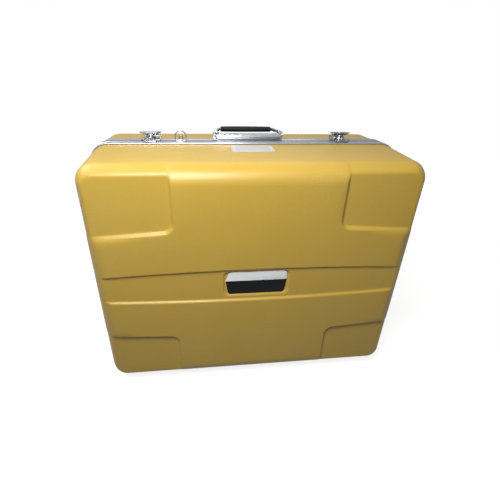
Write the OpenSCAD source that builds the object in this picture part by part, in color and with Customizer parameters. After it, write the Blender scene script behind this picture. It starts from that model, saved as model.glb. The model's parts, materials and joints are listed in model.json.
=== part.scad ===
// Hard-shell carrying case for a surveying instrument, standing on its feet.
// Two formed plastic shells in aluminium rims, hinged along the bottom edge.
// X is the width, the lid faces -Y, +Z is up. The origin is on the floor, under
// the middle of the closed case. Sizes are millimetres.

/* [Case] */
// Width over the rims
case_w = 600; // [450:5:760]
// Height over the rims
case_h = 460; // [360:5:600]
// Depth of the lid, from the parting plane to its face
lid_depth = 170; // [125:1:220]
// Depth of the base, from the parting plane to its back
base_depth = 126; // [105:1:160]
// Radius of the four corners of the rims
corner_r = 34; // [24:1:50]
// Height of the rims above the floor
ground_gap = 12; // [11:0.5:20]

/* [Shells] */
// Wall of the formed shells
wall = 3; // [2:0.5:4]
// Radius of the rounded outer edges
edge_r = 30; // [22:1:36]
// How much each side of the lid's shell leans in over its depth
lid_draft = 5; // [3:0.5:8]
// How much each side of the base's shell leans in over its depth
base_draft = 1; // [0.5:0.5:5]
// Depth of the sunk corner panels
panel_sink = 6; // [3:0.5:8]
// Half the width of the raised centre, between the lower corner panels
panel_x = 153; // [110:1:190]
// The same between the upper corner panels
panel_x_top = 148.5; // [110:0.5:190]
// Half the height of the raised sides, between the corner panels
panel_z = 114; // [95:1:150]
// Radius of the corner panels' inner corner
panel_r = 16; // [8:1:24]
// Depth of the sunk band across the lid
band_sink = 4; // [2:0.5:6]
// Top of the band above the middle of the case
band_top = 35; // [32:1:45]
// Bottom of the band below the middle of the case
band_bottom = 32; // [30:1:45]
// How much the band narrows along each edge, from its middle to its ends
band_bow = 8; // [4:1:12]

/* [Rims] */
// Width of each rim across the parting plane
rim_w = 23; // [18:1:30]
// Height of the closed web that the shell stands on
rim_web = 7; // [7:0.5:9]
// Thickness of each lip beside the shell
lip_t = 2.2; // [1.8:0.1:3]
// Play between a shell and each lip
lip_play = 0.3; // [0.1:0.1:0.5]
// Depth of the flute along the outside of a rim
flute_sink = 0.8; // [0.4:0.1:1.2]
// Height of the sealing tongue
tongue_h = 3; // [2:0.5:3.5]
// Thickness of the sealing tongue
tongue_t = 2; // [1.5:0.1:2.4]
// Play on each side of the tongue
tongue_play = 0.8; // [0.7:0.1:1]
// Thickness of the rubber seal in the groove
seal_t = 2; // [1.5:0.5:2.5]

/* [Foam] */
// Thickness of the base's pad
base_pad_t = 30; // [20:1:40]
// Thickness of the foam walls in the base
base_wall_t = 46; // [30:1:60]
// Thickness of the dividers in the base
divider_t = 24; // [16:1:40]
// Place of the upright divider across the case
divider_x = 82; // [40:1:120]
// Thickness of the lid's pad
lid_pad_t = 40; // [25:1:60]
// Thickness of the foam walls in the lid
lid_wall_t = 38; // [25:1:55]
// Gap between foam and everything beside it
foam_gap = 1; // [0.5:0.5:3]
// Glue line between neighbouring foam blocks
glue_gap = 0.6; // [0.4:0.1:1]

/* [Carrying handle] */
// Length of the handle's base
handle_l = 142; // [128:1:180]
// Width of the handle's base
handle_w = 24; // [20:1:28]
// Height of the base's raised edge, which the folded bail lies just above
handle_edge = 11; // [8:0.5:14]
// Sheet thickness of the base
handle_sheet = 2; // [1.5:0.5:3]
// Distance from the pivots to the middle of the grip
bail_reach = 38; // [32:1:48]
// Diameter of the bail's rod
rod_d = 6; // [5:0.5:7]
// Thickness of the bail's flat arms
bail_t = 5; // [4:0.5:6]
// Diameter of the bail's pivot pins
pivot_d = 4; // [3:0.5:5]
// Length of the grip
grip_l = 104; // [90:1:112]
// Width of the grip
grip_w = 18; // [14:1:24]
// Thickness of the grip
grip_t = 10; // [9:0.5:14]

/* [Turn latches] */
// Distance of each latch from the middle of the case
latch_x = 190; // [150:1:230]
// Diameter of the latch spindles
spindle_d = 8; // [6:0.5:10]
// Distance from the parting plane to the keeper posts' axes
post_in = 3; // [3:0.5:6]
// Diameter of the keeper posts
post_d = 5; // [4:0.5:6]
// Height of the keeper posts above the rim
post_h = 7; // [6.5:0.5:9]
// Radial play between a post and the hook's jaw
jaw_play = 0.35; // [0.3:0.05:0.6]
// Thickness of the hook's jaw
jaw_t = 3.2; // [2.5:0.1:4]
// Width of the hook's arm and jaw
jaw_w = 12; // [9:0.5:14]
// Length of the oval wing
wing_l = 44; // [36:1:52]
// Width of the oval wing
wing_w = 20; // [16:1:24]
// Thickness of the oval wing
wing_t = 2.6; // [2:0.2:4]
// Play around pins that turn
pin_play = 0.05; // [0.02:0.01:0.1]

/* [Lock loop] */
// Distance of the loop from the middle of the case
loop_x = 132; // [110:1:150]
// Outside width of the loop
loop_w = 22; // [19:1:26]
// Outside height of the loop
loop_h = 19.5; // [18:0.5:24]
// Diameter of the loop's wire
wire_d = 2.2; // [1.8:0.1:3]

/* [Hinges and feet] */
// Distance between neighbouring hinges
hinge_pitch = 200; // [160:5:230]
// Length of a hinge
hinge_l = 60; // [50:1:80]
// Width of a hinge leaf
leaf_w = 17; // [14:1:20]
// Thickness of a hinge leaf
leaf_t = 1.8; // [1.5:0.1:2.2]
// Outside diameter of the hinge knuckles
knuckle_d = 7.6; // [7:0.2:8]
// Diameter of the hinge pins
hinge_pin_d = 3.2; // [2.5:0.1:4]
// Diameter of a rubber foot
foot_d = 30; // [24:1:36]
// Distance of the feet from the middle of the case
foot_x = 215; // [170:1:230]
// Distance from the outer face of a shell to the middle of its feet
foot_inset = 54; // [46:1:64]

/* [Hidden] */
$fn = 64;

split_y = (lid_depth - base_depth) / 2;
mid_z = ground_gap + case_h / 2;
half_w = case_w / 2;
half_h = case_h / 2;
proud = lip_t + lip_play;
rim_t = 2 * proud + wall;
tongue_in = proud + wall / 2 - tongue_t / 2;
tongue_gap = 0.5;
groove_d = tongue_h + tongue_gap + seal_t;
flute_start = 4.6;
flute_margin = 5.8;
foam_in = proud + wall + max(lid_draft, base_draft) + foam_gap;
rivet_margin_x = 80;
rivet_margin_z = 90;
over = 1;
big = 2 * (case_w + case_h);

// Foam: depth from the parting plane at which each layer ends
foam_lip = 4;
base_foam_end = base_depth - wall - panel_sink - foam_gap;
base_pad_start = base_foam_end - base_pad_t;
lid_foam_end = lid_depth - wall - panel_sink - foam_gap;
lid_pad_start = lid_foam_end - lid_pad_t;
foam_half_w = half_w - foam_in;
foam_half_h = half_h - foam_in;

// Handle
handle_y = handle_w / 2 + 1;
bail_gap = 0.5;
pivot_z = handle_edge + bail_gap + bail_t / 2;
ear_t = 3;
ear_gap = 0.4;
eye_l = 5;
eye_d = pivot_d + 5;
ear_out = handle_l / 2 - 2;
eye_mid = ear_out - ear_t - ear_gap - eye_l / 2;
pin_head_t = 1.4;
pin_head_d = eye_d - 1;
grip_gap = 0.5;
arm_straight = 5.4;
handle_rivets_x = [16.5, 45];

// Latches
latch_y = rim_w / 2;
post_reach = latch_y + post_in;
base_plate_t = 2;
base_plate_l = 36;
base_plate_w = rim_w - 2;
base_rivet_in = 3;
boss_gap = 2;
boss_d = 2 * (post_reach - post_d / 2 - boss_gap);
boss_h = post_h;
arm_gap = 0.5;
arm_z = boss_h + arm_gap;
arm_t = 2.2;
jaw_r = post_reach + post_d / 2 + jaw_play;
jaw_bottom = 3;
hub_d = 15;
hub_h = 1.8;
wing_z = arm_z + arm_t + hub_h;
spindle_lift = 0.3;
spindle_head_t = 1;
spindle_neck_d = spindle_d - 2;
post_y = -post_in;
rivet_d = 3.2;
rivet_head_d = 6;
rivet_head_t = 1.2;
low_head_d = 5;
low_head_t = 0.7;
keeper_l = 24;
keeper_w = 13;
keeper_t = 2;
keeper_in = 0.6;
keeper_rivet_x = 8;
keeper_rivet_in = 5;

// Lock loop, on the lid, and the eye on the base that it tilts back over
loop_in = 10;
loop_axis_z = 2.8;
eye_plate_w = 9;
eye_plate_h = 10;
eye_plate_t = 2;
eye_plate_in = 1.5;
eye_foot_w = 16;
eye_foot_l = 9;
eye_hole_d = 5;
staple_l = 9;
staple_wall = 1.5;
staple_d = wire_d + 2 * staple_wall;
staple_foot_l = 17;
staple_foot_w = 8;
staple_foot_t = 1.2;

// Hinges
knuckles = 5;
knuckle_gap = 0.4;
hinge_count = 3;
hinge_gap = 0.6;
hinge_z = -half_h - hinge_gap - knuckle_d / 2;
pitch = hinge_l / knuckles;
leaf_rivet_in = 5.8;
leaf_rivet_end = 10;

// Feet
foot_chamfer = 1.5;
screw_d = 4;
screw_head_d = 8;
screw_head_t = 2;
screw_seat = 3;

// Nameplate and label
plate_l = 116;
plate_h = 47;
plate_split = 5;
plate_cut_top = [7, 2];
plate_cut_bottom = [5, 4.5];
name_sink = 3;
name_r = 10;
name_z = 4;
name_play = 6;
name_t = 1.6;
label_l = 78;
label_w = 42;
label_t = 0.4;
label_y = 34;

// Colours
ochre = [0.78, 0.62, 0.27];
metal = [0.75, 0.76, 0.79];
bright = [0.85, 0.86, 0.88];
black = [0.05, 0.05, 0.05];
foam_grey = [0.2, 0.2, 0.21];

// ---------- placing ----------

// Children are drawn about the middle of the parting plane
module in_case() {
    translate([0, split_y, mid_z]) children();
}

// Turns a piece drawn for the lid round to the base
module to_base() {
    mirror([0, 1, 0]) children();
}

// Extrudes an X-Z outline from depth d0 to depth d1 on the lid's side
module layer(d0, d1) {
    translate([0, -d0, 0]) rotate([90, 0, 0]) linear_extrude(d1 - d0) children();
}

// Puts children on the outside of the rim's top, at depth d on the lid's side
module on_rim(x, d) {
    translate([x, -d, half_h]) children();
}

// ---------- outlines ----------

module rounded_rect(w, h, r) {
    square([w - 2 * r, h], center = true);
    square([w, h - 2 * r], center = true);
    for (x = [-1, 1], z = [-1, 1])
        translate([x * (w / 2 - r), z * (h / 2 - r)]) circle(r);
}

module case_outline(inset) {
    rounded_rect(case_w - 2 * inset, case_h - 2 * inset, corner_r - inset);
}

module ring_outline(outer, inner) {
    difference() {
        case_outline(outer);
        case_outline(inner);
    }
}

// Section through a shell, depth along +Y: upright sides inside the rim, then
// leaning sides and round far corners
module section(half, depth, r, draft) {
    run = depth - rim_w;
    lean = atan(draft / run);
    cx = half - draft * (run - r) / run - r / cos(lean);
    cy = depth - r;
    tx = cx + r * cos(lean);
    ty = cy + r * sin(lean);
    polygon([
        [half, 0], [half, rim_w], [tx, ty], [cx, depth],
        [-cx, depth], [-tx, ty], [-half, rim_w], [-half, 0]
    ]);
    for (s = [-1, 1]) translate([s * cx, cy]) circle(r);
}

// ---------- shells ----------

// The solid that a shell's outer or inner surface bounds
module shell_solid(depth, inset, r, draft) {
    intersection() {
        layer(0, depth) case_outline(inset);
        translate([0, 0, -big / 2]) linear_extrude(big)
            mirror([0, 1]) section(half_w - inset, depth, r, draft);
        translate([-big / 2, 0, 0]) rotate([90, 0, 90]) linear_extrude(big)
            rotate(90) section(half_h - inset, depth, r, draft);
    }
}

module corner_panel_outline(grow) {
    r = panel_r + grow;
    for (sx = [0, 1], sz = [0, 1]) mirror([sx, 0]) mirror([0, sz])
        translate([(sz == 0 ? panel_x_top : panel_x) - grow, panel_z - grow]) {
            translate([r, 0]) square([half_w, half_h]);
            translate([0, r]) square([half_w, half_h]);
            translate([r, r]) circle(r);
        }
}

// A band whose two edges are shallow arcs
module band_outline(grow) {
    bow_r = (half_w * half_w + band_bow * band_bow) / (2 * band_bow);
    intersection() {
        translate([0, band_top + grow - bow_r]) circle(bow_r);
        translate([0, -band_bottom - grow + bow_r]) circle(bow_r);
        square([case_w + 2 * over, case_h], center = true);
    }
}

module name_pocket_outline(grow) {
    translate([0, name_z])
        rounded_rect(plate_l + 2 * name_play + 2 * grow, plate_h + name_play + 2 * grow, name_r + grow);
}

module panel_cuts(depth, grow) {
    layer(depth - panel_sink - grow, depth + over) corner_panel_outline(grow);
}

module lid_cuts(grow) {
    panel_cuts(lid_depth, grow);
    layer(lid_depth - band_sink - grow, lid_depth + over) band_outline(grow);
    layer(lid_depth - band_sink - name_sink - grow, lid_depth + over) name_pocket_outline(grow);
}

module rivet_places() {
    for (x = [-2:2], s = [-1, 1]) translate([x * (half_w - rivet_margin_x) / 2, 0, s * half_h])
        rotate([0, s > 0 ? 180 : 0, 0]) children();
    for (z = [-1:1], s = [-1, 1]) translate([s * half_w, 0, z * (half_h - rivet_margin_z)])
        rotate([0, s > 0 ? -90 : 90, 0]) children();
}

// Rivets from the inside through the inner lip and the shell's edge
module rim_rivets() {
    translate([0, -(rim_web + rim_w) / 2, 0]) rivet_places() {
        translate([0, 0, proud]) cylinder(h = rim_t - proud, d = rivet_d);
        translate([0, 0, rim_t]) cylinder(h = rivet_head_t, d = rivet_head_d);
    }
}

module rivet_holes() {
    translate([0, -(rim_web + rim_w) / 2, 0]) rivet_places()
        translate([0, 0, proud]) cylinder(h = rim_t, d = rivet_d);
}

module rear_shell() {
    color(ochre) in_case() to_base() difference() {
        shell_solid(base_depth, proud, edge_r, base_draft);
        panel_cuts(base_depth, 0);
        difference() {
            shell_solid(base_depth - wall, proud + wall, edge_r - wall, base_draft);
            panel_cuts(base_depth, wall);
        }
        layer(-over, rim_web) square(big, center = true);
        rivet_holes();
    }
}

module front_shell() {
    color(ochre) in_case() difference() {
        shell_solid(lid_depth, proud, edge_r, lid_draft);
        lid_cuts(0);
        difference() {
            shell_solid(lid_depth - wall, proud + wall, edge_r - wall, lid_draft);
            lid_cuts(wall);
        }
        layer(-over, rim_web) square(big, center = true);
        rivet_holes();
    }
}

// ---------- rims ----------

module plain_rim() {
    difference() {
        layer(0, rim_w) ring_outline(0, rim_t);
        layer(rim_web, rim_w + over) ring_outline(lip_t, rim_t - lip_t);
        layer(flute_start, rim_w - flute_margin) difference() {
            square(big, center = true);
            case_outline(flute_sink);
        }
        rivet_holes();
    }
}

module rear_rim() {
    color(metal) in_case() to_base() difference() {
        plain_rim();
        layer(-over, groove_d) ring_outline(tongue_in - tongue_play, tongue_in + tongue_t + tongue_play);
    }
}

module front_rim() {
    color(metal) in_case() {
        plain_rim();
        layer(-tongue_h, 0) ring_outline(tongue_in, tongue_in + tongue_t);
    }
}

module rim_seal() {
    color(black) in_case() to_base()
        layer(groove_d - seal_t, groove_d) ring_outline(tongue_in - tongue_play, tongue_in + tongue_t + tongue_play);
}

module rear_rim_rivets() {
    color(metal) in_case() to_base() rim_rivets();
}

module front_rim_rivets() {
    color(metal) in_case() rim_rivets();
}

// ---------- foam ----------

// Foam between two depths, inside the shell's inner surface
module foam_layer(depth, draft, d0, d1) {
    intersection() {
        layer(d0, d1) children();
        shell_solid(depth - wall - foam_gap, proud + wall + foam_gap, edge_r - wall - foam_gap, draft);
    }
}

module foam_box(x0, x1, z0, z1) {
    translate([x0, z0]) square([x1 - x0, z1 - z0]);
}

// Four separate blocks round the inside of a shell
module foam_walls(depth, draft, d0, d1, t) {
    for (s = [-1, 1]) {
        foam_layer(depth, draft, d0, d1) intersection() {
            case_outline(foam_in);
            translate([0, s * (foam_half_h - t / 2)]) square([case_w, t], center = true);
        }
        foam_layer(depth, draft, d0, d1)
            translate([s * (foam_half_w - t / 2), 0])
                square([t, 2 * (foam_half_h - t - glue_gap)], center = true);
    }
}

module base_foam_pad() {
    color(foam_grey) in_case() to_base()
        foam_layer(base_depth, base_draft, base_pad_start + glue_gap, base_foam_end) case_outline(foam_in);
}

module base_foam_walls() {
    color(foam_grey) in_case() to_base()
        foam_walls(base_depth, base_draft, foam_lip, base_pad_start, base_wall_t);
}

module base_foam_dividers() {
    inner_w = foam_half_w - base_wall_t - glue_gap;
    inner_h = foam_half_h - base_wall_t - glue_gap;
    color(foam_grey) in_case() to_base() {
        layer(foam_lip, base_pad_start) foam_box(divider_x, divider_x + divider_t, -inner_h, inner_h);
        layer(foam_lip, base_pad_start)
            foam_box(divider_x + divider_t + glue_gap, inner_w, -divider_t / 2, divider_t / 2);
    }
}

module lid_foam_pad() {
    color(foam_grey) in_case()
        foam_layer(lid_depth, lid_draft, lid_pad_start + glue_gap, lid_foam_end) case_outline(foam_in);
}

module lid_foam_walls() {
    color(foam_grey) in_case() foam_walls(lid_depth, lid_draft, foam_lip, lid_pad_start, lid_wall_t);
}

// ---------- nameplate and label ----------

module nameplate() {
    color(metal) in_case() layer(lid_depth - band_sink - name_sink, lid_depth - band_sink - name_sink + name_t)
        translate([0, name_z]) polygon([
            [-plate_l / 2, plate_split], [plate_cut_top[0] - plate_l / 2, plate_h / 2],
            [plate_l / 2 - plate_cut_top[1], plate_h / 2], [plate_l / 2, plate_split],
            [plate_l / 2 - plate_cut_bottom[1], -plate_h / 2], [plate_cut_bottom[0] - plate_l / 2, -plate_h / 2]
        ]);
}

module paper_label() {
    color("white") in_case() translate([0, -rim_w, half_h - proud])
        rotate([atan(lid_draft / (lid_depth - rim_w)), 0, 0])
            translate([-label_l / 2, rim_w - label_y - label_w, 0]) cube([label_l, label_w, label_t]);
}

// ---------- carrying handle ----------

module handle_outline(inset) {
    r = handle_w / 2 - inset;
    square([handle_l - handle_w, 2 * r], center = true);
    for (s = [-1, 1]) translate([s * (handle_l - handle_w) / 2, 0]) circle(r);
}

module in_handle() {
    in_case() on_rim(0, -handle_y) children();
}

module handle_rivet_places() {
    for (x = handle_rivets_x, s = [-1, 1]) translate([s * x, 0, 0]) children();
}

module handle_base() {
    color(bright) in_handle() difference() {
        union() {
            linear_extrude(handle_sheet) handle_outline(0);
            linear_extrude(handle_edge) difference() {
                handle_outline(0);
                handle_outline(handle_sheet);
            }
            for (s = [-1, 1]) translate([s * (ear_out - ear_t / 2), 0, 0]) {
                translate([-ear_t / 2, -eye_d / 2, 0]) cube([ear_t, eye_d, pivot_z]);
                translate([0, 0, pivot_z]) rotate([0, 90, 0]) cylinder(h = ear_t, d = eye_d, center = true);
            }
        }
        for (s = [-1, 1]) translate([s * (ear_out - ear_t / 2), 0, pivot_z])
            rotate([0, 90, 0]) cylinder(h = 2 * ear_t, d = pivot_d, center = true);
        handle_rivet_places() translate([0, 0, -over]) cylinder(h = handle_sheet + 2 * over, d = rivet_d);
    }
}

module handle_rivets() {
    color(metal) in_handle() handle_rivet_places() {
        cylinder(h = handle_sheet, d = rivet_d);
        translate([0, 0, handle_sheet]) cylinder(h = rivet_head_t, d = rivet_head_d);
    }
}

// Shouldered pins, fixed in the ears, with a head inside each eye
module handle_pins() {
    shank = ear_t + eye_l + 2 * ear_gap;
    color(bright) in_handle() for (s = [0, 1]) mirror([s, 0, 0])
        translate([ear_out, 0, pivot_z]) rotate([0, -90, 0]) {
            cylinder(h = shank, d = pivot_d);
            translate([0, 0, shank]) cylinder(h = pin_head_t, d = pin_head_d);
        }
}

// Plan of one arm of the bail, from its eye to the end of the grip
module bail_arm_outline() {
    bend_x = grip_l / 2 + grip_gap;
    end_y = bail_reach + rod_d / 2;
    polygon([
        [eye_mid - eye_l / 2, 0], [eye_mid + eye_l / 2, 0], [eye_mid + eye_l / 2, arm_straight],
        [bend_x + rod_d, end_y - rod_d], [bend_x + rod_d, end_y], [bend_x, end_y],
        [bend_x, end_y - rod_d], [eye_mid - eye_l / 2, arm_straight]
    ]);
}

module handle_bail() {
    color(bright) in_handle() translate([0, 0, pivot_z]) difference() {
        union() {
            translate([0, bail_reach, 0]) rotate([0, 90, 0])
                cylinder(h = grip_l + 2 * grip_gap + rod_d, d = rod_d, center = true);
            for (s = [0, 1]) mirror([s, 0, 0]) {
                translate([0, 0, -bail_t / 2]) linear_extrude(bail_t) bail_arm_outline();
                translate([eye_mid, 0, 0]) rotate([0, 90, 0]) cylinder(h = eye_l, d = eye_d, center = true);
            }
        }
        for (s = [-1, 1]) translate([s * eye_mid, 0, 0]) rotate([0, 90, 0])
            cylinder(h = eye_l + 2 * over, d = pivot_d + 2 * pin_play, center = true);
    }
}

module handle_grip() {
    color(black) in_handle() translate([0, bail_reach, pivot_z]) difference() {
        rotate([0, 90, 0]) linear_extrude(grip_l, center = true) {
            square([grip_t, grip_w - grip_t], center = true);
            for (s = [-1, 1]) translate([0, s * (grip_w - grip_t) / 2]) circle(d = grip_t);
        }
        rotate([0, 90, 0]) cylinder(h = grip_l + 2 * over, d = rod_d, center = true);
    }
}

// ---------- turn latches ----------

module at_latches() {
    in_case() for (s = [-1, 1]) on_rim(s * latch_x, -latch_y) children();
}

module latch_rivet_places() {
    for (s = [-1, 1]) translate([s * (base_plate_l / 2 - base_rivet_in), 0, 0]) children();
}

module latch_bases() {
    color(bright) at_latches() difference() {
        union() {
            linear_extrude(base_plate_t) square([base_plate_l, base_plate_w], center = true);
            cylinder(h = boss_h, d = boss_d);
        }
        translate([0, 0, -over]) cylinder(h = boss_h + 2 * over, d = spindle_d + 2 * pin_play);
        latch_rivet_places() translate([0, 0, -over]) cylinder(h = base_plate_t + 2 * over, d = rivet_d);
    }
}

module latch_rivets() {
    color(metal) at_latches() latch_rivet_places() {
        cylinder(h = base_plate_t, d = rivet_d);
        translate([0, 0, base_plate_t]) cylinder(h = low_head_t, d = low_head_d);
    }
}

// One latch's turning pieces, with the hook pointing to the middle of the case.
// side is -1 on the left and 1 on the right.
module at_latch(side) {
    in_case() on_rim(side * latch_x, -latch_y) children();
}

module spindle(side) {
    color(metal) at_latch(side) {
        translate([0, 0, spindle_lift]) cylinder(h = wing_z - spindle_lift, d = spindle_d);
        translate([0, 0, wing_z]) cylinder(h = wing_t, d = spindle_neck_d);
        translate([0, 0, wing_z + wing_t]) cylinder(h = spindle_head_t, d = spindle_d);
    }
}

module hook(side) {
    color(metal) at_latch(side) rotate(side > 0 ? 180 : 0) difference() {
        union() {
            translate([0, 0, arm_z]) cylinder(h = arm_t + hub_h, d = hub_d);
            translate([0, -jaw_w / 2, arm_z]) cube([jaw_r + jaw_t, jaw_w, arm_t]);
            translate([jaw_r, -jaw_w / 2, jaw_bottom]) cube([jaw_t, jaw_w, arm_z + arm_t - jaw_bottom]);
        }
        cylinder(h = 2 * wing_z, d = spindle_d);
    }
}

module wing(side) {
    end_r = wing_w / 2;
    color(bright) at_latch(side) translate([0, 0, wing_z]) difference() {
        linear_extrude(wing_t) {
            square([wing_l - wing_w, wing_w], center = true);
            for (s = [-1, 1]) translate([s * (wing_l / 2 - end_r), 0]) circle(end_r);
        }
        translate([0, 0, -over]) cylinder(h = wing_t + 2 * over, d = spindle_neck_d);
    }
}

module left_spindle() { spindle(-1); }
module left_hook() { hook(-1); }
module left_wing() { wing(-1); }
module right_spindle() { spindle(1); }
module right_hook() { hook(1); }
module right_wing() { wing(1); }

module at_keepers() {
    in_case() for (s = [-1, 1]) on_rim(s * latch_x, 0) children();
}

module keeper_rivet_places() {
    for (s = [-1, 1]) translate([s * keeper_rivet_x, keeper_rivet_in - keeper_in - keeper_w, 0]) children();
}

module latch_keepers() {
    color(bright) at_keepers() difference() {
        union() {
            translate([-keeper_l / 2, -keeper_w - keeper_in, 0]) cube([keeper_l, keeper_w, keeper_t]);
            translate([0, post_y, 0]) cylinder(h = post_h, d = post_d);
        }
        keeper_rivet_places() translate([0, 0, -over]) cylinder(h = keeper_t + 2 * over, d = rivet_d);
    }
}

module keeper_rivets() {
    color(metal) at_keepers() keeper_rivet_places() {
        cylinder(h = keeper_t, d = rivet_d);
        translate([0, 0, keeper_t]) cylinder(h = low_head_t, d = low_head_d);
    }
}

// ---------- lock loop ----------

module in_loop() {
    in_case() on_rim(-loop_x, loop_in) children();
}

// A folded plate with a hole for the padlock that also holds the loop
module lock_eye() {
    color(metal) in_case() on_rim(-loop_x, -eye_plate_in) difference() {
        union() {
            translate([-eye_plate_w / 2, 0, 0]) cube([eye_plate_w, eye_plate_t, eye_plate_h - eye_plate_w / 2]);
            translate([0, 0, eye_plate_h - eye_plate_w / 2]) rotate([-90, 0, 0])
                cylinder(h = eye_plate_t, d = eye_plate_w);
            translate([-eye_foot_w / 2, 0, 0]) cube([eye_foot_w, eye_foot_l, staple_foot_t]);
        }
        translate([0, -over, eye_plate_h - eye_plate_w / 2]) rotate([-90, 0, 0])
            cylinder(h = eye_plate_t + 2 * over, d = eye_hole_d);
    }
}

module loop_staple() {
    color(metal) in_loop() difference() {
        union() {
            translate([-staple_foot_l / 2, -staple_foot_w / 2, 0])
                cube([staple_foot_l, staple_foot_w, staple_foot_t]);
            translate([0, 0, loop_axis_z]) rotate([0, 90, 0]) cylinder(h = staple_l, d = staple_d, center = true);
            translate([-staple_l / 2, -staple_d / 2, 0]) cube([staple_l, staple_d, loop_axis_z]);
        }
        translate([0, 0, loop_axis_z]) rotate([0, 90, 0])
            cylinder(h = staple_l + 2 * over, d = wire_d + 2 * pin_play, center = true);
    }
}

module lock_loop() {
    arc_r = (loop_w - wire_d) / 2;
    leg = loop_h - wire_d / 2 - arc_r - wire_d / 2;
    color(bright) in_loop() translate([0, 0, loop_axis_z]) {
        rotate([0, 90, 0]) cylinder(h = 2 * arc_r, d = wire_d, center = true);
        for (s = [-1, 1]) translate([s * arc_r, 0, 0]) {
            sphere(d = wire_d);
            cylinder(h = leg, d = wire_d);
        }
        translate([0, 0, leg]) rotate([90, 0, 0]) rotate_extrude(angle = 180)
            translate([arc_r, 0]) circle(d = wire_d);
    }
}

// ---------- hinges ----------

module at_hinges() {
    in_case() for (i = [0:hinge_count - 1])
        translate([(i - (hinge_count - 1) / 2) * hinge_pitch, 0, hinge_z]) children();
}

module knuckle_row(first, d, gap) {
    for (k = [first:2:knuckles - 1]) translate([-hinge_l / 2 + k * pitch + gap / 2, 0, 0])
        rotate([0, 90, 0]) cylinder(h = pitch - gap, d = d);
}

// A leaf under the rim, with its own knuckles and room for the other leaf's
module hinge_leaf(first) {
    top = -half_h - hinge_z;
    difference() {
        union() {
            difference() {
                translate([-hinge_l / 2, -leaf_w, top - leaf_t]) cube([hinge_l, leaf_w - knuckle_gap / 2, leaf_t]);
                knuckle_row(1 - first, knuckle_d + 2 * knuckle_gap, -knuckle_gap);
            }
            knuckle_row(first, knuckle_d, knuckle_gap);
        }
        rotate([0, 90, 0]) cylinder(h = hinge_l + 2 * over, d = hinge_pin_d + 2 * pin_play, center = true);
        leaf_rivet_places() translate([0, 0, top - leaf_t - over]) cylinder(h = leaf_t + 2 * over, d = rivet_d);
    }
}

module leaf_rivet_places() {
    for (s = [-1, 1]) translate([s * (hinge_l / 2 - leaf_rivet_end), leaf_rivet_in - leaf_w, 0]) children();
}

module leaf_rivets() {
    top = -half_h - hinge_z;
    leaf_rivet_places() {
        translate([0, 0, top - leaf_t]) cylinder(h = leaf_t, d = rivet_d);
        translate([0, 0, top - leaf_t - rivet_head_t]) cylinder(h = rivet_head_t, d = rivet_head_d);
    }
}

module lid_hinge_leaves() {
    color(metal) at_hinges() hinge_leaf(1);
}

module base_hinge_leaves() {
    color(metal) at_hinges() to_base() hinge_leaf(0);
}

module hinge_pins() {
    color(bright) at_hinges() rotate([0, 90, 0]) cylinder(h = hinge_l, d = hinge_pin_d, center = true);
}

module lid_hinge_rivets() {
    color(metal) at_hinges() leaf_rivets();
}

module base_hinge_rivets() {
    color(metal) at_hinges() to_base() leaf_rivets();
}

// ---------- feet ----------

module foot_places(depth) {
    for (s = [-1, 1]) translate([s * foot_x, -(depth - foot_inset), -mid_z]) children();
}

module feet(depth, draft) {
    difference() {
        foot_places(depth) {
            translate([0, 0, foot_chamfer]) cylinder(h = 2 * ground_gap, d = foot_d);
            cylinder(h = foot_chamfer, d1 = foot_d - 2 * foot_chamfer, d2 = foot_d);
        }
        shell_solid(depth, proud, edge_r, draft);
        foot_places(depth) {
            translate([0, 0, -over]) cylinder(h = 3 * ground_gap, d = screw_d);
            translate([0, 0, -over]) cylinder(h = screw_seat + over, d = screw_head_d);
        }
    }
}

module foot_screws(depth, draft) {
    intersection() {
        foot_places(depth) translate([0, 0, screw_seat - screw_head_t]) {
            cylinder(h = screw_head_t, d = screw_head_d);
            cylinder(h = 3 * ground_gap, d = screw_d);
        }
        difference() {
            cube(big, center = true);
            shell_solid(depth, proud, edge_r, draft);
        }
    }
}

module lid_feet() { color(black) in_case() feet(lid_depth, lid_draft); }
module base_feet() { color(black) in_case() to_base() feet(base_depth, base_draft); }
module lid_foot_screws() { color(metal) in_case() foot_screws(lid_depth, lid_draft); }
module base_foot_screws() { color(metal) in_case() to_base() foot_screws(base_depth, base_draft); }

// ---------- nodes ----------

rear_shell();
rear_rim();
rim_seal();
rear_rim_rivets();
base_foam_pad();
base_foam_walls();
base_foam_dividers();
handle_base();
handle_rivets();
handle_pins();
handle_bail();
handle_grip();
latch_bases();
latch_rivets();
left_spindle();
left_hook();
left_wing();
right_spindle();
right_hook();
right_wing();
loop_staple();
lock_loop();
lock_eye();
base_hinge_leaves();
hinge_pins();
base_hinge_rivets();
base_feet();
base_foot_screws();
front_shell();
front_rim();
front_rim_rivets();
lid_foam_pad();
lid_foam_walls();
nameplate();
paper_label();
latch_keepers();
keeper_rivets();
lid_hinge_leaves();
lid_hinge_rivets();
lid_feet();
lid_foot_screws();
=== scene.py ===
"""Looks of a hard-shell carrying case for a surveying instrument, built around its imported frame."""

import json
import logging
import math
from dataclasses import dataclass, field
from enum import Enum
from typing import Callable, Iterable, Sequence

import bmesh
import bpy
from bpy.types import Material, NodeSocket, NodeTree, Object
from mathutils import Matrix, Vector, noise


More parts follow.
